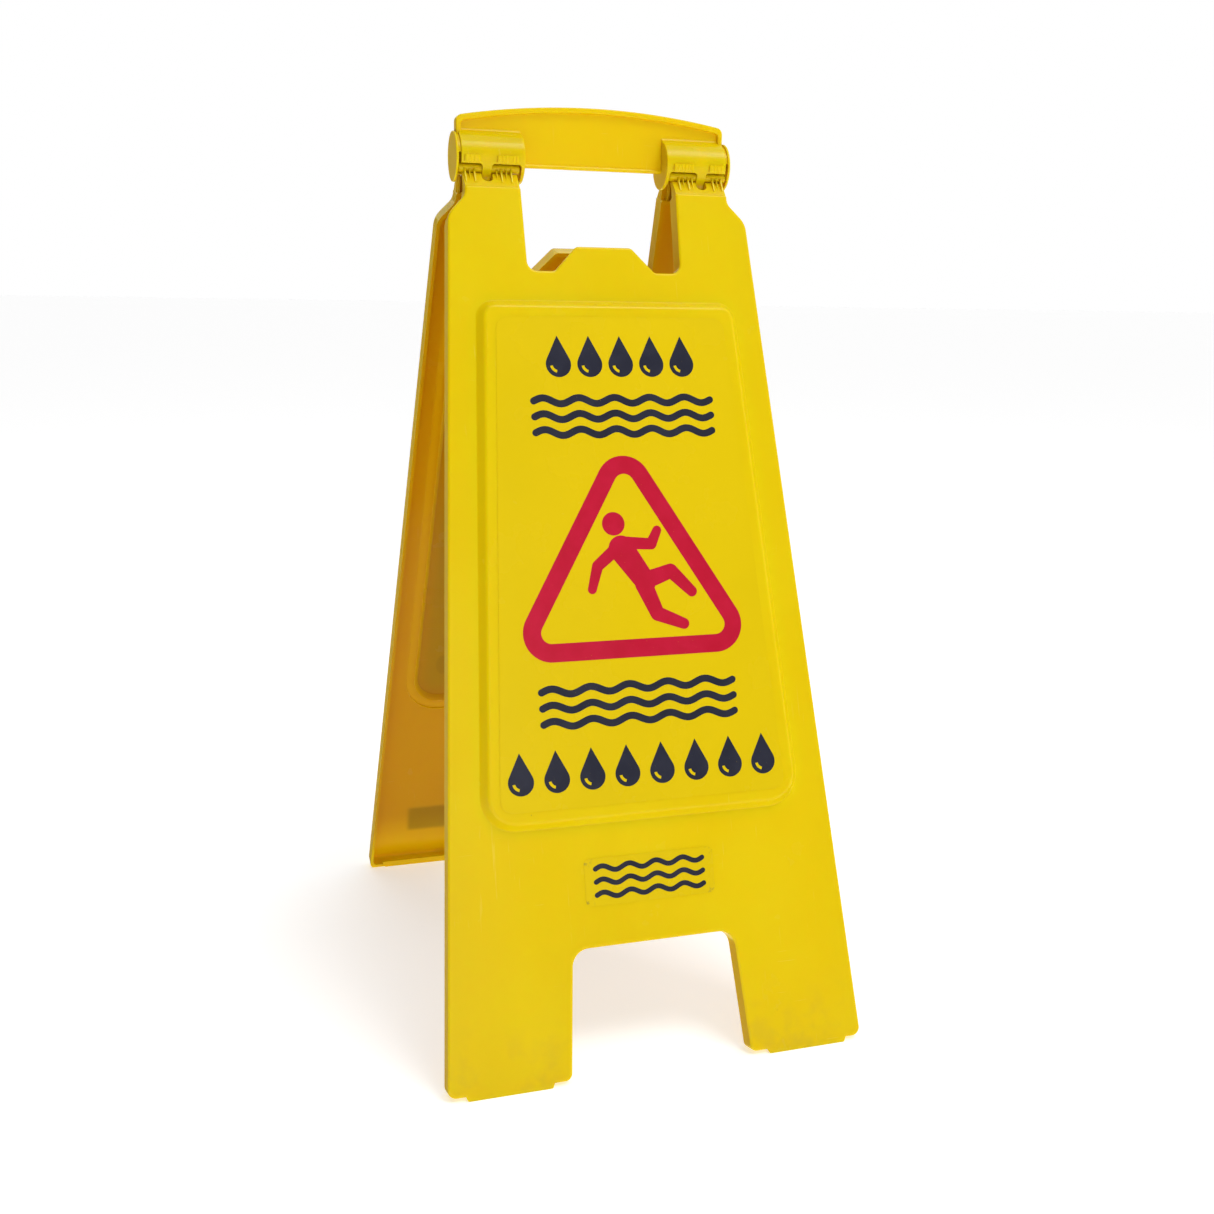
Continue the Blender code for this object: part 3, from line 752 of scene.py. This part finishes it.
def print_mesh(outlines, face_depth, holes=()):
    """Flat ink: the union of closed outlines, less the holes, as a very thin solid on a label."""
    points = []
    loops = []
    for outline in [*outlines, *holes]:
        loops.append(list(range(len(points), len(points) + len(outline))))
        points += [Vector(p) for p in outline]
    found = geometry.delaunay_2d_cdt(points, [], loops, 1, 1e-7)
    hole_ids = set(range(len(outlines), len(loops)))
    shape = bmesh.new()
    front = face_depth - INK
    tops = [shape.verts.new((p.x, front, p.y)) for p in found[0]]
    for corners, sources in zip(found[2], found[5]):
        inside = set(sources)
        if inside and not inside & hole_ids:
            shape.faces.new([tops[i] for i in corners])
    bmesh.ops.dissolve_limit(shape, angle_limit=0.001, verts=shape.verts, edges=shape.edges)
    made = bmesh.ops.extrude_face_region(shape, geom=list(shape.faces))
    backs = [item for item in made["geom"] if isinstance(item, bmesh.types.BMVert)]
    bmesh.ops.translate(shape, verts=backs, vec=(0, INK, 0))
    loose = [v for v in shape.verts if not v.link_faces]
    bmesh.ops.delete(shape, geom=loose, context="VERTS")
    mesh = mesh_from(shape, "print")
    mesh.transform(Matrix.Translation(LEAF_SHIFT))
    return mesh


def drop_outline(centre, height, steps=28):
    """A water drop: a round belly under a pointed top."""
    x, z = centre
    radius = height * DROP_BELLY_SHARE
    belly = z - height / 2 + radius
    tip = z + height / 2
    reach = tip - belly
    touch = math.asin(radius / reach)
    points = arc((x, belly), radius, math.pi - touch, 2 * math.pi + touch, steps)
    return points + [Vector((x, tip))]


def glint_outline(centre, height):
    """The curved highlight inside a drop."""
    x, z = centre
    radius = height * DROP_BELLY_SHARE
    belly = Vector((x, z - height / 2 + radius))
    outer = arc(belly, radius * 0.68, math.radians(190), math.radians(255), 10)
    inner = arc(belly, radius * 0.46, math.radians(255), math.radians(190), 10)
    return outer + inner


def ripple_outline(left, right, height, stroke, waves, swing):
    """A wavy line of constant thickness with round ends."""
    steps = waves * 16
    length = right - left
    middle = []
    for step in range(steps + 1):
        turn = 2 * math.pi * waves * step / steps
        middle.append((left + length * step / steps, height + swing * math.sin(turn),
                       swing * math.cos(turn) * 2 * math.pi * waves / length))
    over = []
    under = []
    for x, z, slope in middle:
        normal = Vector((-slope, 1)).normalized() * (stroke / 2)
        over.append(Vector((x, z)) + normal)
        under.append(Vector((x, z)) - normal)
    start_angle = math.atan(middle[0][2])
    end_angle = math.atan(middle[-1][2])
    start_cap = arc(middle[0][:2], stroke / 2, start_angle + math.pi / 2, start_angle + 1.5 * math.pi, 8)
    end_cap = arc(middle[-1][:2], stroke / 2, end_angle - math.pi / 2, end_angle + math.pi / 2, 8)
    return start_cap + under[1:-1] + end_cap + over[1:-1][::-1]


def limb(start, end, start_width, end_width):
    """A tapered stroke with round ends."""
    first = Vector(start)
    last = Vector(end)
    along = last - first
    angle = math.atan2(along.y, along.x)
    lean = math.asin((start_width - end_width) / 2 / along.length)
    quarter = math.pi / 2
    start_cap = arc(first, start_width / 2, angle + quarter - lean, angle + 3 * quarter + lean, 12)
    end_cap = arc(last, end_width / 2, angle - quarter + lean, angle + quarter - lean, 12)
    return start_cap + end_cap


def drop_row(height, width, count, middle=0.0):
    """(drops, glints) of a row of drops that fills a width."""
    radius = DROP_HEIGHT * DROP_BELLY_SHARE
    start = middle - width / 2 + radius
    pitch = (width - 2 * radius) / (count - 1)
    places = [(start + pitch * k, height) for k in range(count)]
    return [drop_outline(p, DROP_HEIGHT) for p in places], [glint_outline(p, DROP_HEIGHT) for p in places]


def ripple_rows(heights, width, waves, middle=0.0, stroke=RIPPLE_STROKE, swing=RIPPLE_SWING):
    ends = (middle - width / 2, middle + width / 2)
    return [ripple_outline(*ends, height, stroke, waves, swing) for height in heights]


def drops_print():
    drops, glints = drop_row(0.4975, 0.108, 5, UPPER_PRINT_SHIFT)
    more_drops, more_glints = drop_row(0.2125, 0.194, 8)
    return print_mesh(drops + more_drops, MESSAGE_FACE, glints + more_glints)


def ripples_print():
    upper = ripple_rows(UPPER_RIPPLE_ROWS, 0.129, 5, UPPER_PRINT_SHIFT)
    return print_mesh(upper + ripple_rows(LOWER_RIPPLE_ROWS, 0.139, 5), MESSAGE_FACE)


def triangle_print():
    """A rounded triangle's outline."""
    apex, foot, half_width = TRIANGLE
    corners = [(-half_width, foot), (half_width, foot), (0, apex)]
    outer = [(x, z, TRIANGLE_RADIUS) for x, z in corners]
    hole = rounded(inset(outer, TRIANGLE_STROKE), 16)
    return print_mesh([rounded(outer, 16)], MESSAGE_FACE, [hole])


def figure_print():
    """A plain figure that slips backwards."""
    x, z = FIGURE_MIDDLE
    parts = [circle(FIGURE_HEAD_RADIUS, 40, (x + FIGURE_HEAD[0], z + FIGURE_HEAD[1]))]
    for start_x, start_z, end_x, end_z, *widths in FIGURE_LIMBS:
        parts.append(limb((x + start_x, z + start_z), (x + end_x, z + end_z), *widths))
    return print_mesh(parts, MESSAGE_FACE)


def lower_print():
    middle = (LOWER_LABEL_BOTTOM + LOWER_LABEL_TOP) / 2
    heights = (middle + LOWER_LABEL_ROW_GAP, middle, middle - LOWER_LABEL_ROW_GAP)
    return print_mesh(ripple_rows(heights, 0.078, 4, 0.0, 0.0035, 0.0017), LOWER_FACE)


# ---- materials

class Nodes:
    """Short ways to add and link nodes in a node tree."""

    def __init__(self, tree):
        self.tree = tree

    def feed(self, value, socket):
        if isinstance(value, bpy.types.NodeSocket):
            self.tree.links.new(value, socket)
        else:
            socket.default_value = value

    def add(self, kind, **values):
        """A new node, with its settings and its inputs filled by name."""
        node = self.tree.nodes.new("ShaderNode" + kind)
        for key, value in values.items():
            if hasattr(node, key):
                setattr(node, key, value)
            else:
                self.feed(value, node.inputs[key.replace("_", " ")])
        return node

    def calculate(self, kind, operation, values):
        node = self.add(kind, operation=operation)
        for value, socket in zip(values, node.inputs):
            self.feed(value, socket)
        return node.outputs

    def math(self, operation, *values):
        return self.calculate("Math", operation, values)[0]

    def times(self, *values):
        return self.math("MULTIPLY", *values)

    def most(self, *values):
        return self.math("MAXIMUM", *values)

    def ramp(self, value, low, high, start=0.0, end=1.0):
        """The start value below low, the end value above high, smooth between."""
        return self.add("MapRange", interpolation_type="SMOOTHSTEP", Value=value, From_Min=low,
                        From_Max=high, To_Min=start, To_Max=end).outputs[0]

    def fade(self, value, low, high):
        return self.math("SUBTRACT", 1.0, self.ramp(value, low, high))


class Surface(Nodes):
    """The nodes of one material. A piece's place in the sign is undone by its own matrix."""

    def __init__(self, name, matrix=Matrix.Identity(4), shift=(0, 0, 0)):
        self.material = bpy.data.materials.new(name)
        self.material.use_nodes = True
        super().__init__(self.material.node_tree)
        inverse = matrix.inverted()
        coordinates = self.add("TexCoord")
        self.normal = coordinates.outputs["Normal"]
        self.local = self.add("Mapping", Vector=coordinates.outputs["Object"],
                              Location=inverse.to_translation(), Rotation=inverse.to_euler()).outputs[0]
        self.grain = self.calculate("VectorMath", "ADD", (self.local, shift))[0]

    def finish(self, **values):
        """Fills the shader's inputs by name, and returns the material."""
        for key, value in values.items():
            self.feed(value, self.tree.nodes["Principled BSDF"].inputs[key.replace("_", " ")])
        return self.material

    def mix(self, factor, a, b):
        return self.add("Mix", data_type="RGBA", Factor=factor, A=a, B=b).outputs["Result"]

    def split(self, axis, vector=None):
        return self.add("SeparateXYZ", Vector=vector or self.local).outputs[axis]

    def above(self, height):
        """How far up a panel a point is from a height."""
        return self.math("SUBTRACT", self.split("Z"), height - PIN_HEIGHT)

    def length(self, a, b):
        return self.math("SQRT", self.math("ADD", self.times(a, a), self.times(b, b)))

    def place(self, scale=(1, 1, 1), turn=(0, 0, 0), shift=(0, 0, 0)):
        return self.add("Mapping", Vector=self.grain, Scale=scale, Rotation=turn, Location=shift).outputs[0]

    def noise(self, scale, detail=2.0, vector=None, roughness=0.5):
        return self.add("TexNoise", Vector=vector or self.place(), Scale=scale, Detail=detail,
                        Roughness=roughness).outputs["Fac"]

    def uneven(self, scale, detail, middle, spread):
        """A roughness that varies round its middle."""
        return self.math("MULTIPLY_ADD", self.noise(scale, detail), spread, middle - spread / 2)

    def bump(self, height, strength, distance, **normal):
        return self.add("Bump", Strength=strength, Distance=distance, Height=height, **normal).outputs[0]


def scaled(colour, factor):
    return tuple(c * factor for c in colour[:3]) + (1,)


def soft_spots(nodes, height, pitch, count, half_height):
    """A mask of a row of soft round spots along X."""
    x = nodes.split("X")
    shifted = nodes.math("ADD", x, 0.0 if count % 2 else pitch / 2)
    nearest = nodes.math("WRAP", shifted, pitch / 2, -pitch / 2)
    across = nodes.math("DIVIDE", nearest, half_height * 2 * DROP_BELLY_SHARE)
    upright = nodes.math("DIVIDE", nodes.above(height), half_height)
    end = count * pitch / 2
    inside_row = nodes.fade(nodes.math("ABSOLUTE", x), end, end + 0.001)
    return nodes.times(nodes.fade(nodes.length(across, upright), 0.55, 1.25), inside_row)


def soft_box(nodes, left, bottom, right, top, edge):
    """A mask of a rectangle in panel coordinates with soft edges."""
    across = nodes.math("SUBTRACT", nodes.split("X"), (left + right) / 2)
    upright = nodes.above((bottom + top) / 2)
    masks = []
    for away, half in ((across, (right - left) / 2), (upright, (top - bottom) / 2)):
        masks.append(nodes.fade(nodes.math("ABSOLUTE", away), half - edge, half + edge))
    return nodes.times(*masks)


def soft_triangle(nodes, apex, foot, half_width, stroke):
    """A mask of a triangle's outline in panel coordinates with soft edges."""
    middle = foot + (apex - foot) / 3
    slope = math.atan2(half_width, apex - foot)
    rise = nodes.above(middle)
    distance = nodes.times(rise, -1.0)
    for side in (-1, 1):
        across = nodes.times(nodes.split("X"), side * math.cos(slope))
        outwards = nodes.math("ADD", across, nodes.times(rise, math.sin(slope)))
        distance = nodes.math("SMOOTH_MAX", distance, outwards, 0.02)
    away = nodes.math("ABSOLUTE", nodes.math("SUBTRACT", distance, middle - foot - stroke / 2))
    return nodes.fade(away, stroke * 0.3, stroke * 0.85)


def show_through(nodes, base, matrix, with_leg_label):
    """Paints the inside faces: painted shade in a deeper orange-yellow, lighter near the feet as a painted
    glow, painted shade in the field's hollow, and painted shadows where the print outside shows through.
    """
    inwards = matrix.to_3x3() @ Vector((0, 1, 0))
    facing = nodes.calculate("VectorMath", "DOT_PRODUCT", (nodes.normal, inwards))["Value"]
    inside = nodes.ramp(facing, 0.3, 0.8)
    # Painted shade on the inside faces, lighter towards the feet as a painted glow.
    inside_shade_and_glow = nodes.mix(nodes.fade(nodes.split("Z"), *GLOW_HEIGHTS), INSIDE_SHADE_AMBER, INSIDE_GLOW_AMBER)
    base = nodes.mix(nodes.times(inside, 0.85), base, inside_shade_and_glow)
    shadows = nodes.most(soft_spots(nodes, *UPPER_DROP_SHADOWS), soft_spots(nodes, *LOWER_DROP_SHADOWS))
    shadows = nodes.most(shadows, soft_triangle(nodes, *TRIANGLE_SHADOW))
    for box in RIPPLE_SHADOWS:
        shadows = nodes.most(shadows, soft_box(nodes, *box, 0.004))
    hollow = nodes.fade(nodes.split("Y"), *HOLLOW_DEPTHS)
    shadows = nodes.most(nodes.times(shadows, PRINT_SHADE), nodes.times(hollow, HOLLOW_SHADE))
    if with_leg_label:
        shadows = nodes.most(shadows, nodes.times(soft_box(nodes, *LEG_LABEL, 0.0028), LABEL_SHADE))
    return nodes.mix(nodes.times(shadows, inside), base, AMBER_SHADOW)


def moulded_plastic(name, colour, paler, roughness, matrix=Matrix.Identity(4), shift=(0, 0, 0), panel=None):
    """Satin polypropylene: faint flow mottling, scuffs, tiny specks, a slightly uneven surface, and painted
    shade on faces turned sideways and inside the panels.
    """
    nodes = Surface(name, matrix, shift)
    base = nodes.mix(nodes.ramp(nodes.noise(9, 3), 0.35, 0.7), colour, paler)
    flow = nodes.ramp(nodes.noise(14, 4, nodes.place(scale=(1, 1, 0.18))), 0.45, 0.75)
    base = nodes.mix(nodes.times(flow, 0.5), base, scaled(colour, 0.94))

    patches = nodes.ramp(nodes.noise(11, 2, nodes.place(shift=(3, 1, 7))), 0.48, 0.62)
    fine = nodes.noise(1, 3, nodes.place(scale=(520, 520, 26), turn=(0, 0.5, 0)), 0.6)
    crossing = nodes.noise(1, 3, nodes.place(scale=(30, 520, 460), turn=(0, 0.35, 0)), 0.6)
    scuffs = nodes.times(nodes.most(nodes.ramp(fine, 0.66, 0.74), nodes.ramp(crossing, 0.68, 0.76)), patches)
    scuffed = tuple(min(1.0, c + 0.09) for c in paler[:3]) + (1,)
    base = nodes.mix(nodes.times(scuffs, 0.28), base, scuffed)

    cells = nodes.add("TexVoronoi", Vector=nodes.place(), Scale=75)
    gate = nodes.ramp(nodes.noise(24, 1, nodes.place(shift=(5, 2, 1))), 0.60, 0.66)
    specks = nodes.times(nodes.fade(cells.outputs["Distance"], 0.02, 0.05), gate)
    base = nodes.mix(nodes.times(specks, 0.35), base, SPECK)

    if panel:
        near_floor = nodes.fade(nodes.split("Z"), *DIRT_HEIGHTS)
        dirt = nodes.times(near_floor, nodes.ramp(nodes.noise(60, 4), 0.46, 0.72))
        base = nodes.mix(nodes.times(dirt, 0.16), base, DIRT)
        # Inside a panel: painted shade, a painted glow near the feet, and painted shadows of the print and
        # the leg label.
        base = show_through(nodes, base, matrix, panel == "rear")

    # Faces turned sideways: painted shade in a darker orange, and a rougher finish.
    sideways = nodes.math("ABSOLUTE", nodes.split("X", nodes.normal))
    side_shade_and_matt = nodes.ramp(sideways, 0.85, 0.97)
    base = nodes.mix(nodes.times(side_shade_and_matt, 0.8), base, SIDE_SHADE_YELLOW)
    rough = nodes.math("MULTIPLY_ADD", scuffs, 0.16, nodes.uneven(30, 4, roughness, 0.14))
    rough = nodes.math("MULTIPLY_ADD", side_shade_and_matt, 0.45, rough)
    texture = nodes.bump(nodes.noise(13, 1), 0.6, 0.0012)
    texture = nodes.bump(nodes.noise(900, 2), 0.10, 0.0002, Normal=texture)
    texture = nodes.bump(scuffs, 0.10, 0.0001, Normal=texture)
    return nodes.finish(
        Base_Color=base, Roughness=rough, Normal=texture, IOR=1.49, Specular_IOR_Level=0.17,
        Subsurface_Weight=0.42, Subsurface_Radius=(1.0, 0.62, 0.06), Subsurface_Scale=0.008)


def label_vinyl(name, matrix, shift, corners):
    """Glossy vinyl with faint ripples, and grime gathered at its corners (half width, height)."""
    nodes = Surface(name, matrix, shift)
    base = nodes.mix(nodes.ramp(nodes.noise(9, 3), 0.35, 0.7), YELLOW, scaled(YELLOW, 0.97))
    across = nodes.math("ABSOLUTE", nodes.split("X"))
    grime = 0.0
    for half_width, height in corners:
        distance = nodes.length(nodes.math("SUBTRACT", across, half_width), nodes.above(height))
        grime = nodes.math("ADD", grime, nodes.fade(distance, 0.001, 0.008))
    broken = nodes.ramp(nodes.noise(420, 3), 0.50, 0.66)
    base = nodes.mix(nodes.times(nodes.times(grime, broken), 0.55), base, GRIME)
    waviness = nodes.bump(nodes.noise(13, 1), 0.6, 0.0012)
    return nodes.finish(
        Base_Color=base, Roughness=nodes.uneven(30, 4, 0.27, 0.12),
        Normal=nodes.bump(nodes.noise(700, 1), 0.06, 0.0001, Normal=waviness),
        IOR=1.49, Specular_IOR_Level=0.2)


def ink(name, colour, worn):
    """Screen-printed ink with a slightly uneven film and pinholes."""
    nodes = Surface(name)
    base = nodes.mix(nodes.ramp(nodes.noise(70, 4), 0.3, 0.75), colour, worn)
    pinholes = nodes.ramp(nodes.noise(1300, 2), 0.73, 0.80)
    return nodes.finish(
        Base_Color=nodes.mix(nodes.times(pinholes, 0.4), base, YELLOW),
        Roughness=nodes.uneven(45, 3, 0.31, 0.14),
        Normal=nodes.bump(nodes.noise(520, 2), 0.12, 0.0001), IOR=1.5, Specular_IOR_Level=0.3)


def plain_label(name):
    """Off-white satin vinyl with a faint mottle and a few smudges."""
    nodes = Surface(name)
    smudge = nodes.ramp(nodes.noise(90, 4), 0.5, 0.8)
    return nodes.finish(
        Base_Color=nodes.mix(smudge, LABEL_WHITE, LABEL_GREY), Roughness=nodes.uneven(60, 3, 0.455, 0.15),
        Normal=nodes.bump(nodes.noise(600, 2), 0.1, 0.0001))


YELLOW = (0.85, 0.61, 0.0005, 1)
YELLOW_PALE = (0.86, 0.635, 0.002, 1)
HANDLE_YELLOW = (0.85, 0.585, 0.0005, 1)
PIN_YELLOW = (0.84, 0.57, 0.0005, 1)
# Painted shade: sideways faces darker orange; a panel's inside faces deeper orange, lighter near the feet as
# a painted glow, and darker in painted shadows.
SIDE_SHADE_YELLOW = (0.60, 0.37, 0.0005, 1)
INSIDE_SHADE_AMBER = (0.58, 0.29, 0.0, 1)
INSIDE_GLOW_AMBER = (0.98, 0.62, 0.0, 1)
AMBER_SHADOW = (0.20, 0.105, 0.0, 1)
SPECK = (0.16, 0.10, 0.02, 1)
DIRT = (0.40, 0.28, 0.06, 1)
GRIME = (0.15, 0.11, 0.05, 1)
LABEL_WHITE = (0.76, 0.75, 0.70, 1)
LABEL_GREY = (0.66, 0.65, 0.60, 1)
DARK_INK = (0.017, 0.018, 0.034, 1)
DARK_INK_WORN = (0.026, 0.027, 0.046, 1)
RED_INK = (0.56, 0.003, 0.030, 1)
RED_INK_WORN = (0.62, 0.006, 0.042, 1)

# Where a panel's looks change, from the hinge: heights of dirt and of the painted glow inside, depths of the
# field's hollow, which is painted in shade inside
DIRT_HEIGHTS = (-0.64, -0.57)
GLOW_HEIGHTS = (0.008 - PIN_HEIGHT, 0.060 - PIN_HEIGHT)
HOLLOW_DEPTHS = (-0.0115, -0.0070)

# Painted shadows of the print inside a panel, where it shows through: rows of (height, pitch, count,
# half_height), the triangle, and boxes
UPPER_DROP_SHADOWS = (0.4955, 0.0225, 5, 0.0135)
LOWER_DROP_SHADOWS = (0.2105, 0.0251, 8, 0.0135)
TRIANGLE_SHADOW = (0.4465, 0.2865, 0.0945, 0.0127)
RIPPLE_SHADOWS = ((-0.067, 0.4425, 0.067, 0.4685), (-0.067, 0.2425, 0.067, 0.2685))
PRINT_SHADE = 0.48
HOLLOW_SHADE = 0.36
LABEL_SHADE = 0.42


# ---- assembly

def hinge_matrix(name, facing):
    """Places panel coordinates on a hinge, turned to the open angle."""
    joint = JOINTS[name]
    turn = Matrix.Rotation(-math.radians(joint["range_deg"][1]), 4, "X")
    if facing > 0:
        turn = Matrix.Rotation(math.pi, 4, "Z") @ turn
    return Matrix.Translation(joint["pos_m"]) @ turn


def add_piece(name, mesh, material, matrix, body, replaced=None, crease=35):
    mesh.transform(matrix)
    piece = link_mesh(name, mesh)
    mesh.materials.clear()
    mesh.materials.append(material)
    mesh.shade_smooth()
    mesh.set_sharp_from_angle(angle=math.radians(crease))
    weighted = piece.modifiers.new("flat_faces", "WEIGHTED_NORMAL")
    weighted.keep_sharp = True
    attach(piece, body)
    if replaced:
        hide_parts(replaced)
    return piece


def build_leaf(name, facing, shift, meshes, inks):
    """One panel with its labels, print and pins."""
    matrix = hinge_matrix(name + "_hinge", facing)

    def add(piece, mesh, material, replaced=None):
        replaced = replaced and f"{name}_{replaced}"
        add_piece(f"{name}_{piece}", mesh, material, matrix, name + "_leaf", replaced)

    plastic = moulded_plastic(name + "_panel_plastic", YELLOW, YELLOW_PALE, 0.25, matrix, shift, name)
    low, high = inset(field_corners(), FIELD_WALL_WIDTH + MESSAGE_MARGIN)[1:3]
    past = MESSAGE_GRIME_PAST
    message_vinyl = label_vinyl(name + "_message_vinyl", matrix, shift,
                                [(low[0] + past, low[1] - past), (high[0] + past, high[1] + past)])
    lower_corners = [(LOWER_LABEL_HALF_WIDTH, z) for z in (LOWER_LABEL_BOTTOM, LOWER_LABEL_TOP)]
    lower_vinyl = label_vinyl(name + "_lower_vinyl", matrix, shift, lower_corners)
    add("panel_moulding", meshes["panel"].copy(), plastic, "panel")
    add("message_sticker", meshes["message_label"].copy(), message_vinyl, "message_label")
    add("lower_sticker", meshes["lower_label"].copy(), lower_vinyl, "lower_label")
    for print_name, slot in PRINTS:
        add(print_name, meshes[print_name].copy(), inks[slot])
    pin_plastic = moulded_plastic(name + "_pin_plastic", PIN_YELLOW, YELLOW, 0.26)
    for end, side in (("left", facing), ("right", -facing)):
        add(end + "_pin_moulding", pin_mesh(side), pin_plastic, end + "_hinge_pin")


def build_sign():
    handle_plastic = moulded_plastic("handle_plastic", HANDLE_YELLOW, YELLOW, 0.24)
    above = Matrix.Translation((0, 0, HINGE_Z + DRUM_ABOVE_PIN))
    add_piece("handle_moulding", handle_mesh(), handle_plastic, above, "handle",
              "carry_handle")
    inks = {
        "dark_ink": ink("dark_ink", DARK_INK, DARK_INK_WORN),
        "red_ink": ink("red_ink", RED_INK, RED_INK_WORN),
    }
    meshes = {
        "panel": panel_mesh(),
        "message_label": message_label_mesh(),
        "lower_label": lower_label_mesh(),
        "drops_print": drops_print(),
        "ripples_print": ripples_print(),
        "warning_triangle_print": triangle_print(),
        "slipping_figure_print": figure_print(),
        "lower_print": lower_print(),
    }
    build_leaf("front", -1, (0, 0, 0), meshes, inks)
    build_leaf("rear", 1, (4, 2, 6), meshes, inks)
    add_piece("rear_leg_sticker", leg_label_mesh(), plain_label("leg_label_vinyl"),
              hinge_matrix("rear_hinge", 1), "rear_leaf", "rear_leg_label")


# ---- stage

BACKDROP = 1.0
WORLD_BRIGHT = 1.0
# Dimmer sides of the studio: (direction, share of the light there, cosines of its outer and inner edges)
DIM_SIDES = (
    ((0.25, -1.0, 0.1), 0.25, 0.0, 0.75),
    ((-1.0, -0.1, 0.0), 0.10, 0.0, 0.8),
)


def build_floor():
    white = Surface("studio_floor").finish(
        Base_Color=(0.90, 0.90, 0.90, 1), Roughness=0.9, Emission_Color=(1, 1, 1, 1), Emission_Strength=0.44)
    shape = bmesh.new()
    bmesh.ops.create_grid(shape, x_segments=1, y_segments=1, size=30)
    floor = link_mesh("studio_floor", mesh_from(shape, "studio_floor"))
    if floor.data.polygons[0].normal.z < 0:
        floor.data.flip_normals()
    floor.data.materials.append(white)


def add_light(name, place, target, size, power):
    data = bpy.data.lights.new(name, "AREA")
    data.size = size
    data.energy = power
    light = bpy.data.objects.new(name, data)
    light.location = place
    light.rotation_euler = (Vector(target) - Vector(place)).to_track_quat("-Z", "Y").to_euler()
    bpy.context.scene.collection.objects.link(light)


def build_world():
    """A white studio, dimmer in front and to the left, behind a plain white backdrop."""
    world = bpy.data.worlds.new("studio")
    world.use_nodes = True
    nodes = Nodes(world.node_tree)
    direction = nodes.add("TexCoord").outputs["Generated"]
    strength = WORLD_BRIGHT
    for side, dim, outer, inner in DIM_SIDES:
        facing = nodes.calculate("VectorMath", "DOT_PRODUCT", (direction, Vector(side).normalized()))
        strength = nodes.times(nodes.ramp(facing["Value"], outer, inner, 1.0, dim), strength)
    seen = nodes.add("LightPath").outputs["Is Camera Ray"]
    background = nodes.tree.nodes["Background"]
    background.inputs["Color"].default_value = (1, 1, 1, 1)
    choice = nodes.add("Mix", Factor=seen, A=strength, B=BACKDROP)
    nodes.feed(choice.outputs["Result"], background.inputs["Strength"])
    bpy.context.scene.world = world


def build_light():
    build_world()
    add_light("key", (0.8, -1.2, 2.9), (0, 0, 0.3), 1.2, 35)
    add_light("window", (-0.35, -3.0, 0.85), (-0.05, 0, 0.3), 1.5, 10.5)


def build_camera():
    """The viewpoint: in front, to the left, a little above the sign's middle."""
    width = 1214
    focal_length = 1400
    centre = (645, 640)
    azimuth = math.radians(18.32)
    elevation = math.radians(14.40)
    roll = math.radians(1.14)
    data = bpy.data.cameras.new("camera")
    data.sensor_width = 36
    data.lens = focal_length / width * data.sensor_width
    data.shift_x = (width / 2 - centre[0]) / width
    data.shift_y = (centre[1] - width / 2) / width
    data.clip_start = 0.05
    data.clip_end = 60
    forward = Vector((
        math.sin(azimuth) * math.cos(elevation),
        math.cos(azimuth) * math.cos(elevation),
        -math.sin(elevation),
    ))
    level = Vector((math.cos(azimuth), -math.sin(azimuth), 0))
    upright = level.cross(forward)
    right = level * math.cos(roll) + upright * math.sin(roll)
    up = upright * math.cos(roll) - level * math.sin(roll)
    camera = bpy.data.objects.new("camera", data)
    turn = Matrix((right, up, -forward)).transposed().to_4x4()
    camera.matrix_world = Matrix.Translation((-0.2899, -1.0203, 0.5289)) @ turn
    bpy.context.scene.collection.objects.link(camera)
    bpy.context.scene.camera = camera


build_sign()
build_floor()
build_light()
build_camera()
bpy.context.scene.view_settings.view_transform = "Standard"
